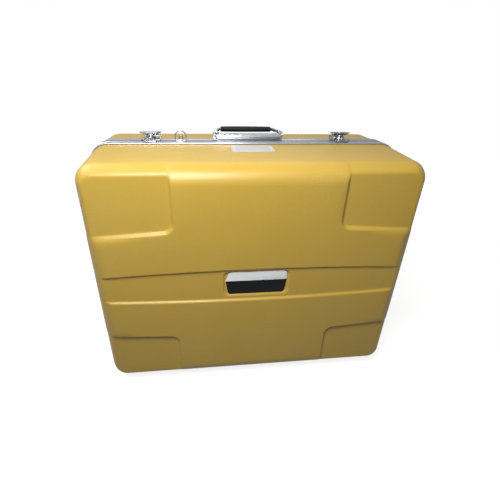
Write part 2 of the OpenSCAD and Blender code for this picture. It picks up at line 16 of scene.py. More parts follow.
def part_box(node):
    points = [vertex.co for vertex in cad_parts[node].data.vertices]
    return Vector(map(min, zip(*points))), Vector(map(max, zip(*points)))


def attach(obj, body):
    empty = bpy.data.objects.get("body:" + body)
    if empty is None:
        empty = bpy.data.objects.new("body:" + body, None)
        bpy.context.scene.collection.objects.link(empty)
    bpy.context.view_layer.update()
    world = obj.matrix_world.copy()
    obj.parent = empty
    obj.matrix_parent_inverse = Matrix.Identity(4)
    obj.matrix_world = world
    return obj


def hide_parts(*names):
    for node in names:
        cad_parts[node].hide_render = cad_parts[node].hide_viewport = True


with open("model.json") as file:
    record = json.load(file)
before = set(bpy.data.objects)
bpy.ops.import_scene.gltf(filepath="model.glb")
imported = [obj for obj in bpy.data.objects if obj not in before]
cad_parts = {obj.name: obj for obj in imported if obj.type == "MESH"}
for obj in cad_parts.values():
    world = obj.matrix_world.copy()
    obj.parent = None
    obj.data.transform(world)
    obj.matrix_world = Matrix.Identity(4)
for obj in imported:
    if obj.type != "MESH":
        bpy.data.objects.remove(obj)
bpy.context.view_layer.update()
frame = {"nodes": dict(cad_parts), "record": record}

log = logging.getLogger("case")
MM = 0.001
Point = tuple[float, float, float]
Profile = Sequence[tuple[float, float]]


class Half(Enum):
    """The half of the case that a piece is on; the value is its side of the parting plane."""

    LID = -1
    BASE = 1


# ---------------------------------------------------------------- small helpers


def smooth(t: float) -> float:
    """Eases from 0 to 1 as t goes from 0 to 1."""
    t = min(max(t, 0.0), 1.0)
    return t * t * (3 - 2 * t)


def soft_max(a: float, b: float, reach: float) -> float:
    """The larger of two numbers, with the corner between them rounded over reach."""
    h = max(reach - abs(a - b), 0.0) / reach
    return max(a, b) + h * h * reach / 4


def steps(low: float, high: float, pitch: float) -> list[float]:
    """Evenly spaced values from low to high, about a pitch apart."""
    count = max(1, round((high - low) / pitch))
    return [low + (high - low) * i / count for i in range(count + 1)]


def finished(
    name: str,
    bm: bmesh.types.BMesh,
    materials: Sequence[Material],
    body: str,
    replaces: Sequence[str] = (),
    bevel: float = 0.0,
    flat: bool = False,
) -> Object:
    """Turns a bmesh into a piece that rides on a body.

    Args:
        name: The piece's name.
        bm: Its mesh, in place, which is freed.
        materials: Its materials, in the order of its faces' indices.
        body: The body it moves with.
        replaces: The CAD nodes it stands for.
        bevel: Width of a bevel modifier, or 0 for none.
        flat: Whether the faces stay flat-shaded.

    Returns:
        The new object.
    """
    mesh = bpy.data.meshes.new(name)
    bm.to_mesh(mesh)
    bm.free()
    for material in materials:
        mesh.materials.append(material)
    if not flat:
        mesh.shade_smooth()
    piece = bpy.data.objects.new(name, mesh)
    bpy.context.scene.collection.objects.link(piece)
    if bevel > 0:
        modifier = piece.modifiers.new("edge", "BEVEL")
        modifier.width = bevel
        modifier.segments = 3
        modifier.limit_method = "ANGLE"
        modifier.angle_limit = math.radians(35)
        modifier.harden_normals = True
    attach(piece, body)
    if replaces:
        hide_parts(*replaces)
    log.info("%s: %d faces", name, len(mesh.polygons))
    return piece


def move(bm: bmesh.types.BMesh, verts: Iterable, place: Sequence[float], turn: Matrix | None = None) -> None:
    """Turns vertices about the origin, then moves them to their place."""
    verts = list(verts)
    if turn is not None:
        bmesh.ops.transform(bm, matrix=turn.to_4x4(), verts=verts)
    bmesh.ops.translate(bm, vec=Vector(place), verts=verts)


def lathe(
    bm: bmesh.types.BMesh, profile: Profile, place: Sequence[float], axis: str = "Z", sides: int = 40
) -> list:
    """Turns a closed or axis-to-axis outline of (radius, height) points round an axis.

    Args:
        bm: The mesh to add to.
        profile: Radius and height of each point, from the bottom up.
        place: Where the outline's origin goes.
        axis: The axis that heights run along.
        sides: Number of steps in a full turn.

    Returns:
        The new vertices.
    """
    old = set(bm.verts)
    verts = [bm.verts.new((radius, 0, height)) for radius, height in profile]
    edges = [bm.edges.new(pair) for pair in zip(verts, verts[1:])]
    if profile[0][0] > 0 and profile[-1][0] > 0:
        edges.append(bm.edges.new((verts[-1], verts[0])))
    bmesh.ops.spin(
        bm, geom=verts + edges, cent=(0, 0, 0), axis=(0, 0, 1), angle=math.tau, steps=sides, use_merge=True
    )
    new = [v for v in bm.verts if v not in old]
    bmesh.ops.remove_doubles(bm, verts=new, dist=1e-6)
    new = [v for v in bm.verts if v not in old]
    faces = list({f for v in new for f in v.link_faces})
    bmesh.ops.recalc_face_normals(bm, faces=faces)
    turns = {"Z": None, "X": Matrix.Rotation(math.pi / 2, 3, "Y"), "Y": Matrix.Rotation(-math.pi / 2, 3, "X")}
    move(bm, new, place, turns[axis])
    return new


def stadium(
    bm: bmesh.types.BMesh, length: float, width: float, height: float, z: float, sides: int = 40
) -> list:
    """Adds an upright plate with half-round ends, and returns its vertices."""
    made = bmesh.ops.create_circle(bm, cap_ends=True, segments=sides, radius=width / 2)["verts"]
    for v in made:
        if abs(v.co.x) > 1e-7:
            v.co.x += math.copysign((length - width) / 2, v.co.x)
    face = made[0].link_faces[0]
    raised = bmesh.ops.extrude_face_region(bm, geom=[face])["geom"]
    top = [v for v in raised if isinstance(v, bmesh.types.BMVert)]
    bmesh.ops.translate(bm, vec=(0, 0, height), verts=top)
    every = list(made) + top
    bmesh.ops.translate(bm, vec=(0, 0, z), verts=every)
    bmesh.ops.recalc_face_normals(bm, faces=list({f for v in every for f in v.link_faces}))
    return every


def block(
    bm: bmesh.types.BMesh, low: Sequence[float], high: Sequence[float], round_r: float = 0.0,
    segments: int = 3
) -> list:
    """Adds a box between two corners, with rounded edges, and returns its vertices."""
    old = set(bm.verts)
    size = Vector(high) - Vector(low)
    made = bmesh.ops.create_cube(bm, size=1)["verts"]
    bmesh.ops.scale(bm, vec=size, verts=made)
    bmesh.ops.translate(bm, vec=(Vector(low) + Vector(high)) / 2, verts=made)
    if round_r > 0:
        edges = list({e for v in made for e in v.link_edges})
        bmesh.ops.bevel(
            bm, geom=edges, offset=round_r, segments=segments, profile=0.5, affect="EDGES", material=-1
        )
    return [v for v in bm.verts if v not in old]


def drawn_on(bm: bmesh.types.BMesh, ring: list, move_by: Sequence[float]) -> list:
    """Extrudes a ring of edges by a straight move, and returns the new ring."""
    made = bmesh.ops.spin(
        bm, geom=ring, cent=(0, 0, 0), axis=(0, 0, 1), dvec=Vector(move_by), angle=0, steps=1
    )
    return made["geom_last"]


def top_face(bm: bmesh.types.BMesh) -> bmesh.types.BMFace:
    """Returns the highest face, and the largest of those equally high."""
    return max(bm.faces, key=lambda f: (round(f.calc_center_median().z, 6), f.calc_area()))


def front_face(bm: bmesh.types.BMesh) -> bmesh.types.BMFace:
    """Returns the face nearest the front, and the largest of those equally near."""
    return min(bm.faces, key=lambda f: (round(f.calc_center_median().y, 6), -f.calc_area()))


def sink_face(bm: bmesh.types.BMesh, face: bmesh.types.BMFace, border: float, depth: float) -> None:
    """Insets a face, and presses its middle in by a depth."""
    bmesh.ops.inset_region(bm, faces=[face], thickness=border, use_even_offset=True)
    if depth > 0:
        normal = face.normal.copy()
        made = bmesh.ops.extrude_face_region(bm, geom=[face])["geom"]
        bmesh.ops.translate(
            bm, vec=-normal * depth, verts=[g for g in made if isinstance(g, bmesh.types.BMVert)]
        )


def thicken(bm: bmesh.types.BMesh, face: bmesh.types.BMFace, by: Sequence[float]) -> list:
    """Extrudes a lone face into a closed solid, and returns all its vertices."""
    first = list(face.verts)
    made = bmesh.ops.extrude_face_region(bm, geom=[face])["geom"]
    new = [g for g in made if isinstance(g, bmesh.types.BMVert)]
    bmesh.ops.translate(bm, vec=Vector(by), verts=new)
    every = first + new
    bmesh.ops.recalc_face_normals(bm, faces=list({f for v in every for f in v.link_faces}))
    return every


def tab(bm: bmesh.types.BMesh, width: float, height: float, thick: float, sides: int = 32) -> list:
    """Adds an upright plate square to X, with a half-round top about a centre at a height."""
    made = bmesh.ops.create_circle(bm, cap_ends=True, segments=sides, radius=width / 2)["verts"]
    for v in made:
        if v.co.y < -1e-6:
            x = 0.0 if abs(v.co.x) < 1e-6 else math.copysign(width / 2, v.co.x)
            v.co = Vector((x, -height, 0))
    bmesh.ops.remove_doubles(bm, verts=made, dist=1e-6)
    made = [v for v in made if v.is_valid]
    bmesh.ops.translate(bm, vec=(0, height, -thick / 2), verts=made)
    verts = thicken(bm, made[0].link_faces[0], (0, 0, thick))
    turn = Matrix(((0, 0, 1), (1, 0, 0), (0, 1, 0)))
    bmesh.ops.transform(bm, matrix=turn.to_4x4(), verts=verts)
    return verts


def rivet(
    bm: bmesh.types.BMesh, place: Sequence[float], facing: str, radius: float, height: float, shank: float
) -> None:
    """Adds a domed rivet with a short shank.

    Args:
        bm: The mesh to add to.
        place: The middle of the head's underside.
        facing: The axis that the head faces, with a minus sign for the other way.
        radius: Radius of the head.
        height: Height of the head.
        shank: Length of the shank under the head.
    """
    r = radius
    profile = [
        (0, -shank), (r * 0.53, -shank), (r * 0.53, 0), (r, 0), (r * 0.97, height * 0.3),
        (r * 0.8, height * 0.66),
        (r * 0.5, height * 0.91), (0, height),
    ]
    verts = lathe(bm, profile, (0, 0, 0), facing[-1], 20)
    if facing.startswith("-"):
        other = "Y" if facing[-1] == "X" else "X"
        bmesh.ops.rotate(bm, verts=verts, cent=(0, 0, 0), matrix=Matrix.Rotation(math.pi, 3, other))
    bmesh.ops.translate(bm, vec=Vector(place), verts=verts)


def swept_frame(
    outline: Profile, half_w: float, half_h: float, corner_r: float, turn_steps: int = 14,
    top_r: float | None = None
) -> bmesh.types.BMesh:
    """Sweeps a closed section round a rectangle with round corners.

    Args:
        outline: Points of the section, as (inset from the rectangle, place along Y).
        half_w: Half the rectangle's width.
        half_h: Half its height.
        corner_r: Radius of its corners.
        turn_steps: Steps in each corner.
        top_r: Radius of the upper two corners, if it differs.

    Returns:
        A closed mesh about the origin, in the X-Z plane.
    """
    bm = bmesh.new()
    verts = [bm.verts.new((-(half_w - corner_r), y, -half_h + inset)) for inset, y in outline]
    edges = [bm.edges.new((a, b)) for a, b in zip(verts, verts[1:] + verts[:1])]
    ring = verts + edges
    top_r = corner_r if top_r is None else top_r
    up = 2 * half_h - corner_r - top_r
    sides = [
        (1, -1, corner_r, (2 * (half_w - corner_r), 0, 0)), (1, 1, top_r, (0, 0, up)),
        (-1, 1, top_r, (-2 * (half_w - top_r), 0, 0)), (-1, -1, corner_r, (0, 0, -up)),
    ]
    for side_x, side_z, r, run in sides:
        if Vector(run).length > 1e-7:
            ring = drawn_on(bm, ring, run)
        ring = bmesh.ops.spin(
            bm, geom=ring, cent=(side_x * (half_w - r), 0, side_z * (half_h - r)), axis=(0, -1, 0),
            angle=math.pi / 2, steps=turn_steps,
        )["geom_last"]
    bmesh.ops.remove_doubles(bm, verts=bm.verts, dist=1e-6)
    bmesh.ops.recalc_face_normals(bm, faces=bm.faces)
    return bm


# ---------------------------------------------------------------- shader building


class Graph:
    """Adds nodes to a shader tree, with their inputs given as values or as other nodes' outputs."""

    def __init__(self, tree: NodeTree) -> None:
        """Keeps the tree and removes what a new one holds."""
        self.tree = tree
        tree.nodes.clear()

    def add(self, kind: str, inputs: dict | None = None, **settings) -> bpy.types.Node:
        """Adds a node.

        Args:
            kind: The node's type, without ShaderNode.
            inputs: Values or sockets for its inputs, by name or index.
            **settings: The node's own properties.

        Returns:
            The new node.
        """
        node = self.tree.nodes.new(kind if kind.startswith("Node") else "ShaderNode" + kind)
        for key, value in settings.items():
            setattr(node, key, value)
        for key, value in (inputs or {}).items():
            if isinstance(value, NodeSocket):
                self.tree.links.new(value, node.inputs[key])
            else:
                node.inputs[key].default_value = value
        return node

    def mix(self, mask: NodeSocket | float, a: NodeSocket | tuple, b: NodeSocket | tuple) -> NodeSocket:
        """Mixes two colours by a mask, and returns the result."""
        return self.add("Mix", {0: mask, 6: a, 7: b}, data_type="RGBA").outputs[2]

    def math(self, operation: str, a: NodeSocket | float, b: NodeSocket | float = 0.0) -> NodeSocket:
        """Works out one sum on two values, and returns it."""
        return self.add("Math", {0: a, 1: b}, operation=operation).outputs[0]

    def ranged(
        self, value: NodeSocket, low: float, high: float, to_low: float = 0.0, to_high: float = 1.0
    ) -> NodeSocket:
        """Maps a value from one range to another, clamped, and returns it."""
        node = self.add("MapRange", {0: value, 1: low, 2: high, 3: to_low, 4: to_high})
        return node.outputs[0]

    def noise(
        self, scale: float, detail: float = 3.0, vector: NodeSocket | None = None, rough: float = 0.5
    ) -> NodeSocket:
        """Noise on the object's own coordinates, from 0 to 1."""
        inputs = {
            "Scale": scale, "Detail": detail, "Roughness": rough, "Vector": vector or self.coordinates()
        }
        return self.add("TexNoise", inputs).outputs[0]

    def coordinates(self) -> NodeSocket:
        """The object's own coordinates."""
        return self.add("TexCoord").outputs["Object"]

    def stretched(self, scale: Point, turn: Point = (0, 0, 0)) -> NodeSocket:
        """The object's coordinates, turned and stretched."""
        return self.add(
            "Mapping", {"Vector": self.coordinates(), "Scale": scale, "Rotation": turn}
        ).outputs[0]


def make_group(
    name: str, inputs: dict[str, float], outputs: Sequence[str], draw: Callable[[Graph, bpy.types.Node], dict]
) -> NodeTree:
    """Makes a shader group of float sockets once.

    Args:
        name: The group's name.
        inputs: Its inputs and their defaults.
        outputs: Its outputs' names.
        draw: Adds the nodes, given the graph and the input node, and returns a socket for each output.

    Returns:
        The node tree.
    """
    if name in bpy.data.node_groups:
        return bpy.data.node_groups[name]
    tree = bpy.data.node_groups.new(name, "ShaderNodeTree")
    for key, value in inputs.items():
        tree.interface.new_socket(key, in_out="INPUT", socket_type="NodeSocketFloat").default_value = value
    for key in outputs:
        tree.interface.new_socket(key, in_out="OUTPUT", socket_type="NodeSocketFloat")
    graph = Graph(tree)
    start, end = graph.add("NodeGroupInput"), graph.add("NodeGroupOutput")
    for key, socket in draw(graph, start).items():
        tree.links.new(socket, end.inputs[key])
    return tree


def draw_patches(graph: Graph, start: bpy.types.Node) -> dict[str, NodeSocket]:
    """Soft patches, such as faded or handled areas, on two scales."""
    large = graph.add(
        "TexNoise", {"Vector": graph.coordinates(), "Scale": start.outputs["Scale"], "Detail": 4.0}
    )
    small_scale = graph.math("MULTIPLY", start.outputs["Scale"], 7.3)
    small = graph.add("TexNoise", {"Vector": graph.coordinates(), "Scale": small_scale, "Detail": 2.0})
    mixed = graph.math(
        "ADD", graph.math("MULTIPLY", large.outputs[0], 0.72), graph.math("MULTIPLY", small.outputs[0], 0.28)
    )
    return {"Mask": graph.ranged(mixed, 0.36, 0.64)}


def draw_scratches(graph: Graph, start: bpy.types.Node) -> dict[str, NodeSocket]:
    """Fine straight scratches in three directions, thinned out by patches."""
    marks = None
    for turn, pitch in ((0.5, 1.0), (-0.9, 0.8), (1.9, 1.2)):
        vector = graph.stretched((1.0, 14.0, 14.0), (turn * 0.6, turn, turn * 1.3))
        scale = graph.math("MULTIPLY", start.outputs["Scale"], pitch)
        lines = graph.add("TexNoise", {"Vector": vector, "Scale": scale, "Detail": 5.0, "Roughness": 0.6})
        near = graph.math("ABSOLUTE", graph.math("SUBTRACT", lines.outputs[0], 0.5))
        mark = graph.ranged(near, 0.0, 0.012, 1.0, 0.0)
        marks = mark if marks is None else graph.math("MAXIMUM", marks, mark)
    where = graph.add("TexNoise", {"Vector": graph.coordinates(), "Scale": 11.0, "Detail": 2.0})
    share = graph.ranged(where.outputs[0], 0.5, 0.66)
    return {"Mask": graph.math("MULTIPLY", graph.math("MULTIPLY", marks, share), start.outputs["Amount"])}


def draw_grain(graph: Graph, start: bpy.types.Node) -> dict[str, NodeSocket]:
    """A fine pebbled moulding grain."""
    cells = graph.add(
        "TexVoronoi", {"Vector": graph.coordinates(), "Scale": start.outputs["Scale"]}, feature="SMOOTH_F1"
    )
    noise = graph.add(
        "TexNoise", {"Vector": graph.coordinates(), "Scale": start.outputs["Scale"], "Detail": 2.0}
    )
    return {"Height": graph.math("ADD", graph.math("MULTIPLY", cells.outputs[0], 0.7), noise.outputs[0])}


def draw_edges(graph: Graph, start: bpy.types.Node) -> dict[str, NodeSocket]:
    """Convex edges, broken up by noise."""
    pointed = graph.add("NewGeometry").outputs["Pointiness"]
    broken = graph.noise(90.0, 4.0)
    lifted = graph.math("ADD", pointed, graph.math("MULTIPLY", graph.math("SUBTRACT", broken, 0.5), 0.06))
    worn = graph.add("MapRange", {0: lifted, 1: start.outputs["From"], 2: start.outputs["To"]})
    return {"Mask": worn.outputs[0]}


def patches() -> NodeTree:
    """The group of soft patches."""
    return make_group("soft_patches", {"Scale": 4.0}, ["Mask"], draw_patches)


def scratches() -> NodeTree:
    """The group of fine scratches."""
    return make_group("fine_scratches", {"Scale": 12.0, "Amount": 1.0}, ["Mask"], draw_scratches)


def grain() -> NodeTree:
    """The group of moulding grain."""
    return make_group("moulding_grain", {"Scale": 900.0}, ["Height"], draw_grain)


def edges() -> NodeTree:
    """The group of worn edges."""
    return make_group("worn_edges", {"From": 0.53, "To": 0.6}, ["Mask"], draw_edges)


def placed(graph: Graph, tree: NodeTree, **inputs: float) -> NodeSocket:
    """Places a group in a material, sets its inputs by name, and returns its one output."""
    node = graph.add("Group", node_tree=tree)
    for key, value in inputs.items():
        node.inputs[key.capitalize()].default_value = value
    return node.outputs[0]


def new_material(name: str) -> tuple[Material, Graph]:
    """An empty material and the graph that draws it."""
    material = bpy.data.materials.new(name)
    material.use_nodes = True
    return material, Graph(material.node_tree)


def surfaced(
    graph: Graph, inputs: dict, height: NodeSocket | None = None, bump: float = 0.1, distance: float = 0.0002
) -> None:
    """Ends a material in a Principled shader, with a bump if it is given a height."""
    if height is not None:
        node = graph.add("Bump", {"Height": height, "Strength": bump, "Distance": distance})
        inputs = inputs | {"Normal": node.outputs[0]}
    shader = graph.add("BsdfPrincipled", inputs)
    graph.add("OutputMaterial", {"Surface": shader.outputs[0]})


Colour = tuple[float, float, float, float]


@dataclass(frozen=True)
class Plastic:
    """Moulded or formed plastic with a fine grain, faded patches and light scratches."""

    name: str
    colour: Colour
    faded: Colour
    worn: Colour
    roughness: float
    grain_scale: float
    grain_bump: float
    coat: float = 0.0
    shine: float = 0.5
    streaks: float = 0.0

    def make(self) -> Material:
        """Builds the material."""
        material, graph = new_material(self.name)
        base = graph.mix(placed(graph, patches(), scale=3.5), self.colour, self.faded)
        streaks = graph.noise(520.0, 3.0, graph.stretched((0.4, 1.0, 1.0)), 0.6)
        drawn = graph.math("MULTIPLY", graph.ranged(streaks, 0.36, 0.64, -1.0, 1.0), self.streaks)
        base = graph.add("BrightContrast", {"Color": base, "Bright": drawn}).outputs[0]
        marks = placed(graph, scratches(), scale=14.0, amount=0.35)
        colour = graph.mix(marks, base, self.worn)
        colour = graph.mix(placed(graph, edges(), **{"from": 0.56, "to": 0.66}), colour, self.worn)
        rough = graph.ranged(
            placed(graph, patches(), scale=9.0), 0, 1, self.roughness - 0.035, self.roughness + 0.045
        )
        rough = graph.math("ADD", rough, graph.math("MULTIPLY", marks, 0.18))
        height = placed(graph, grain(), scale=self.grain_scale)
        height = graph.math("ADD", height, graph.math("MULTIPLY", drawn, 25.0))
        surfaced(
            graph,
            {
                "Base Color": colour, "Roughness": rough, "IOR": 1.5, "Specular IOR Level": self.shine,
                "Coat Weight": self.coat, "Coat Roughness": 0.3,
            },
            height,
            self.grain_bump,
        )
        return material


@dataclass(frozen=True)
class Metal:
    """Bare, plated or drawn metal; brushed along X and round the frame if brush is above 0."""

    name: str
    colour: Colour
    dulled: Colour
    roughness: float
    spread: float
    brush: float = 0.0
    scratch: float = 0.5
    metallic: float = 1.0

    def make(self) -> Material:
        """Builds the material."""
        material, graph = new_material(self.name)
        dull = placed(graph, patches(), scale=22.0)
        marks = placed(graph, scratches(), scale=30.0, amount=self.scratch)
        colour = graph.mix(graph.math("MULTIPLY", dull, 0.7), self.colour, self.dulled)
        rough = graph.ranged(dull, 0, 1, self.roughness, self.roughness + self.spread)
        rough = graph.math("ADD", rough, graph.math("MULTIPLY", marks, 0.22))
        height = marks
        if self.brush > 0:
            lines = graph.noise(420.0, 3.0, graph.stretched((0.04, 1.0, 0.04)))
            height = graph.math(
                "ADD", graph.math("MULTIPLY", marks, 0.5), graph.math("MULTIPLY", lines, self.brush)
            )
            rough = graph.math("ADD", rough, graph.ranged(lines, 0.35, 0.65, -0.05, 0.07))
        surfaced(
            graph, {"Base Color": colour, "Metallic": self.metallic, "Roughness": rough}, height, 0.12, 0.0001
        )
        return material


@dataclass(frozen=True)
class Foam:
    """Open-cell foam: coarse pores and a soft bloom."""

    name: str
    colour: Colour
    light: Colour

    def make(self) -> Material:
        """Builds the material."""
        material, graph = new_material(self.name)
        pores = graph.add("TexVoronoi", {"Vector": graph.coordinates(), "Scale": 620.0}).outputs[0]
        soft = graph.noise(60.0, 4.0)
        colour = graph.mix(graph.ranged(graph.math("ADD", pores, soft), 0.6, 1.5), self.colour, self.light)
        height = graph.math("ADD", graph.math("MULTIPLY", pores, -0.8), graph.math("MULTIPLY", soft, 0.5))
        surfaced(graph, {"Base Color": colour, "Roughness": 0.95, "Sheen Weight": 0.25}, height, 0.7, 0.0006)
        return material


@dataclass(frozen=True)
class Rubber:
    """Matt rubber with a dusty bloom."""

    name: str
    colour: Colour
    dusty: Colour

    def make(self) -> Material:
        """Builds the material."""
        material, graph = new_material(self.name)
        dust = placed(graph, patches(), scale=30.0)
        colour = graph.mix(graph.math("MULTIPLY", dust, 0.6), self.colour, self.dusty)
        rough = graph.ranged(dust, 0, 1, 0.62, 0.82)
        surfaced(
            graph, {"Base Color": colour, "Roughness": rough}, placed(graph, grain(), scale=1500.0), 0.15,
            0.0001
        )
        return material


@dataclass(frozen=True)
class Paper:
    """Coated label paper: faint fibres and a little yellowing."""

    name: str
    colour: Colour
    aged: Colour
    roughness: float = 0.45

    def make(self) -> Material:
        """Builds the material."""
        material, graph = new_material(self.name)
        colour = graph.mix(placed(graph, patches(), scale=25.0), self.colour, self.aged)
        surfaced(
            graph, {"Base Color": colour, "Roughness": self.roughness}, graph.noise(900.0, 4.0), 0.08, 0.0001
        )
        return material


@dataclass(frozen=True)
class Floor:
    """A plain pale floor that glows a little for the camera, so that it fades into the backdrop."""

    name: str
    colour: Colour
    bounce: Colour
    glow: float
    near: float
    far: float
    mirrored: float

    def make(self) -> Material:
        """Builds the material."""
        material, graph = new_material(self.name)
        reach = graph.add("VectorMath", {0: graph.coordinates()}, operation="LENGTH").outputs["Value"]
        glow = graph.ranged(reach, self.near, self.far, self.glow, 1.0)
        rays = graph.add("LightPath")
        seen = graph.math("MULTIPLY", rays.outputs["Is Camera Ray"], glow)
        mirrored = graph.math("MULTIPLY", rays.outputs["Is Glossy Ray"], self.mirrored)
        colour = graph.mix(rays.outputs["Is Camera Ray"], self.bounce, self.colour)
        lit = graph.add("BsdfDiffuse", {"Color": colour}).outputs[0]
        strength = graph.math("ADD", seen, mirrored)
        shine = graph.add("Emission", {"Color": (1, 1, 1, 1), "Strength": strength}).outputs[0]
        graph.add("OutputMaterial", {"Surface": graph.add("AddShader", {0: lit, 1: shine}).outputs[0]})
        return material


class Finish:
    """Every finish of the case, made once."""

    def __init__(self) -> None:
        """Builds the materials."""
        self.shell = Plastic(
            "shell_plastic", (0.575, 0.38, 0.056, 1), (0.61, 0.41, 0.07, 1), (0.66, 0.50, 0.20, 1), 0.38,
            1500.0, 0.14, 0.12,
            streaks=0.007
        ).make()
        self.inside = Plastic(
            "shell_inside", (0.50, 0.31, 0.075, 1), (0.53, 0.34, 0.09, 1), (0.6, 0.42, 0.16, 1), 0.5, 900.0,
            0.2
        ).make()
        self.rim = Metal(
            "rim_aluminium", (0.66, 0.68, 0.72, 1), (0.50, 0.52, 0.56, 1), 0.26, 0.12, 0.6
        ).make()
        self.bright = Metal(
            "bright_metal", (0.80, 0.82, 0.85, 1), (0.60, 0.62, 0.66, 1), 0.13, 0.14, metallic=0.92
        ).make()
        self.nickel = Metal("dull_nickel", (0.52, 0.54, 0.57, 1), (0.30, 0.32, 0.35, 1), 0.12, 0.12).make()
        self.zinc = Metal(
            "fastener_metal", (0.58, 0.59, 0.61, 1), (0.42, 0.43, 0.45, 1), 0.3, 0.18, 0.0, 0.7
        ).make()
        # Darker steel for the hooks and the lock eye; on the hooks the darkness is partly painted shade, as
        # they sit in shadow under the wings.
        self.shade_darkened_steel = Metal(
            "hook_steel_painted_shade", (0.40, 0.42, 0.45, 1), (0.26, 0.27, 0.29, 1), 0.22, 0.18, 0.0, 0.7
        ).make()
        # Near-black metal used as painted shade: it darkens the groove at the rims' parting line and the
        # pivot pins in the pan's eyes.
        self.painted_shade_metal = Metal("shadow_metal", (0.16, 0.17, 0.19, 1), (0.09, 0.09, 0.10, 1), 0.35, 0.15).make()
        self.grip = Plastic(
            "grip_plastic", (0.004, 0.005, 0.007, 1), (0.006, 0.007, 0.010, 1), (0.03, 0.03, 0.034, 1), 0.5,
            1300.0, 0.15, shine=0.25
        ).make()
        self.seal = Rubber("seal_rubber", (0.012, 0.012, 0.012, 1), (0.05, 0.05, 0.048, 1)).make()
        self.foot = Rubber("foot_rubber", (0.016, 0.016, 0.016, 1), (0.075, 0.072, 0.066, 1)).make()
        self.foam = Foam("foam", (0.012, 0.012, 0.013, 1), (0.045, 0.045, 0.048, 1)).make()
        self.plate = Metal(
            "plate_metal", (0.93, 0.95, 0.98, 1), (0.86, 0.88, 0.92, 1), 0.34, 0.1, scratch=0.3, metallic=0.1
        ).make()
        self.plate_black = Plastic(
            "plate_black", (0.003, 0.0035, 0.006, 1), (0.005, 0.006, 0.009, 1), (0.03, 0.03, 0.035, 1), 0.42,
            900.0, 0.05, shine=0.2
        ).make()
        self.paper = Paper("label_paper", (0.66, 0.70, 0.74, 1), (0.58, 0.61, 0.63, 1)).make()
        self.ink = Paper("label_ink", (0.17, 0.19, 0.23, 1), (0.22, 0.24, 0.28, 1)).make()
        self.floor = Floor(
            "pale_floor", (0.5, 0.5, 0.5, 1), (0.12, 0.12, 0.12, 1), 0.84, 0.7, 2.0, 0.55
        ).make()


# ---------------------------------------------------------------- the case's own sizes


@dataclass(frozen=True)
class CaseSizes:
    """Sizes that several pieces share, in metres, measured on the frame."""

    half_w: float
    half_h: float
    mid_z: float
    split_y: float
    lid_depth: float
    base_depth: float
    rim_w: float
    corner_r: float = 34 * MM
    proud: float = 2.5 * MM
    wall: float = 3 * MM
    web: float = 7 * MM
    lip: float = 2.2 * MM
    lid_draft: float = 5 * MM
    base_draft: float = 1 * MM

    @classmethod
    def from_frame(cls) -> "CaseSizes":
        """Measures the rims and shells."""
        low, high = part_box("rear_rim")
        return cls(
            half_w=high.x,
            half_h=(high.z - low.z) / 2,
            mid_z=(high.z + low.z) / 2,
            split_y=low.y,
            lid_depth=low.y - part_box("front_shell")[0].y,
            base_depth=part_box("rear_shell")[1].y - low.y,
            rim_w=high.y - low.y,
        )

    @property
    def top(self) -> float:
        """Height of the rims' top."""
        return self.mid_z + self.half_h

    def depth(self, half: Half) -> float:
        """Depth of a half, from the parting plane to its face."""
        return self.lid_depth if half is Half.LID else self.base_depth

    def lean(self, half: Half, depth: float) -> float:
        """How far a half's sides have leant in at a depth."""
        draft = self.lid_draft if half is Half.LID else self.base_draft
        return draft * max(depth - self.rim_w, 0) / (self.depth(half) - self.rim_w)

    @property
    def rim_t(self) -> float:
        """Thickness of a rim, across both lips."""
        return 2 * self.proud + self.wall


# ---------------------------------------------------------------- shells


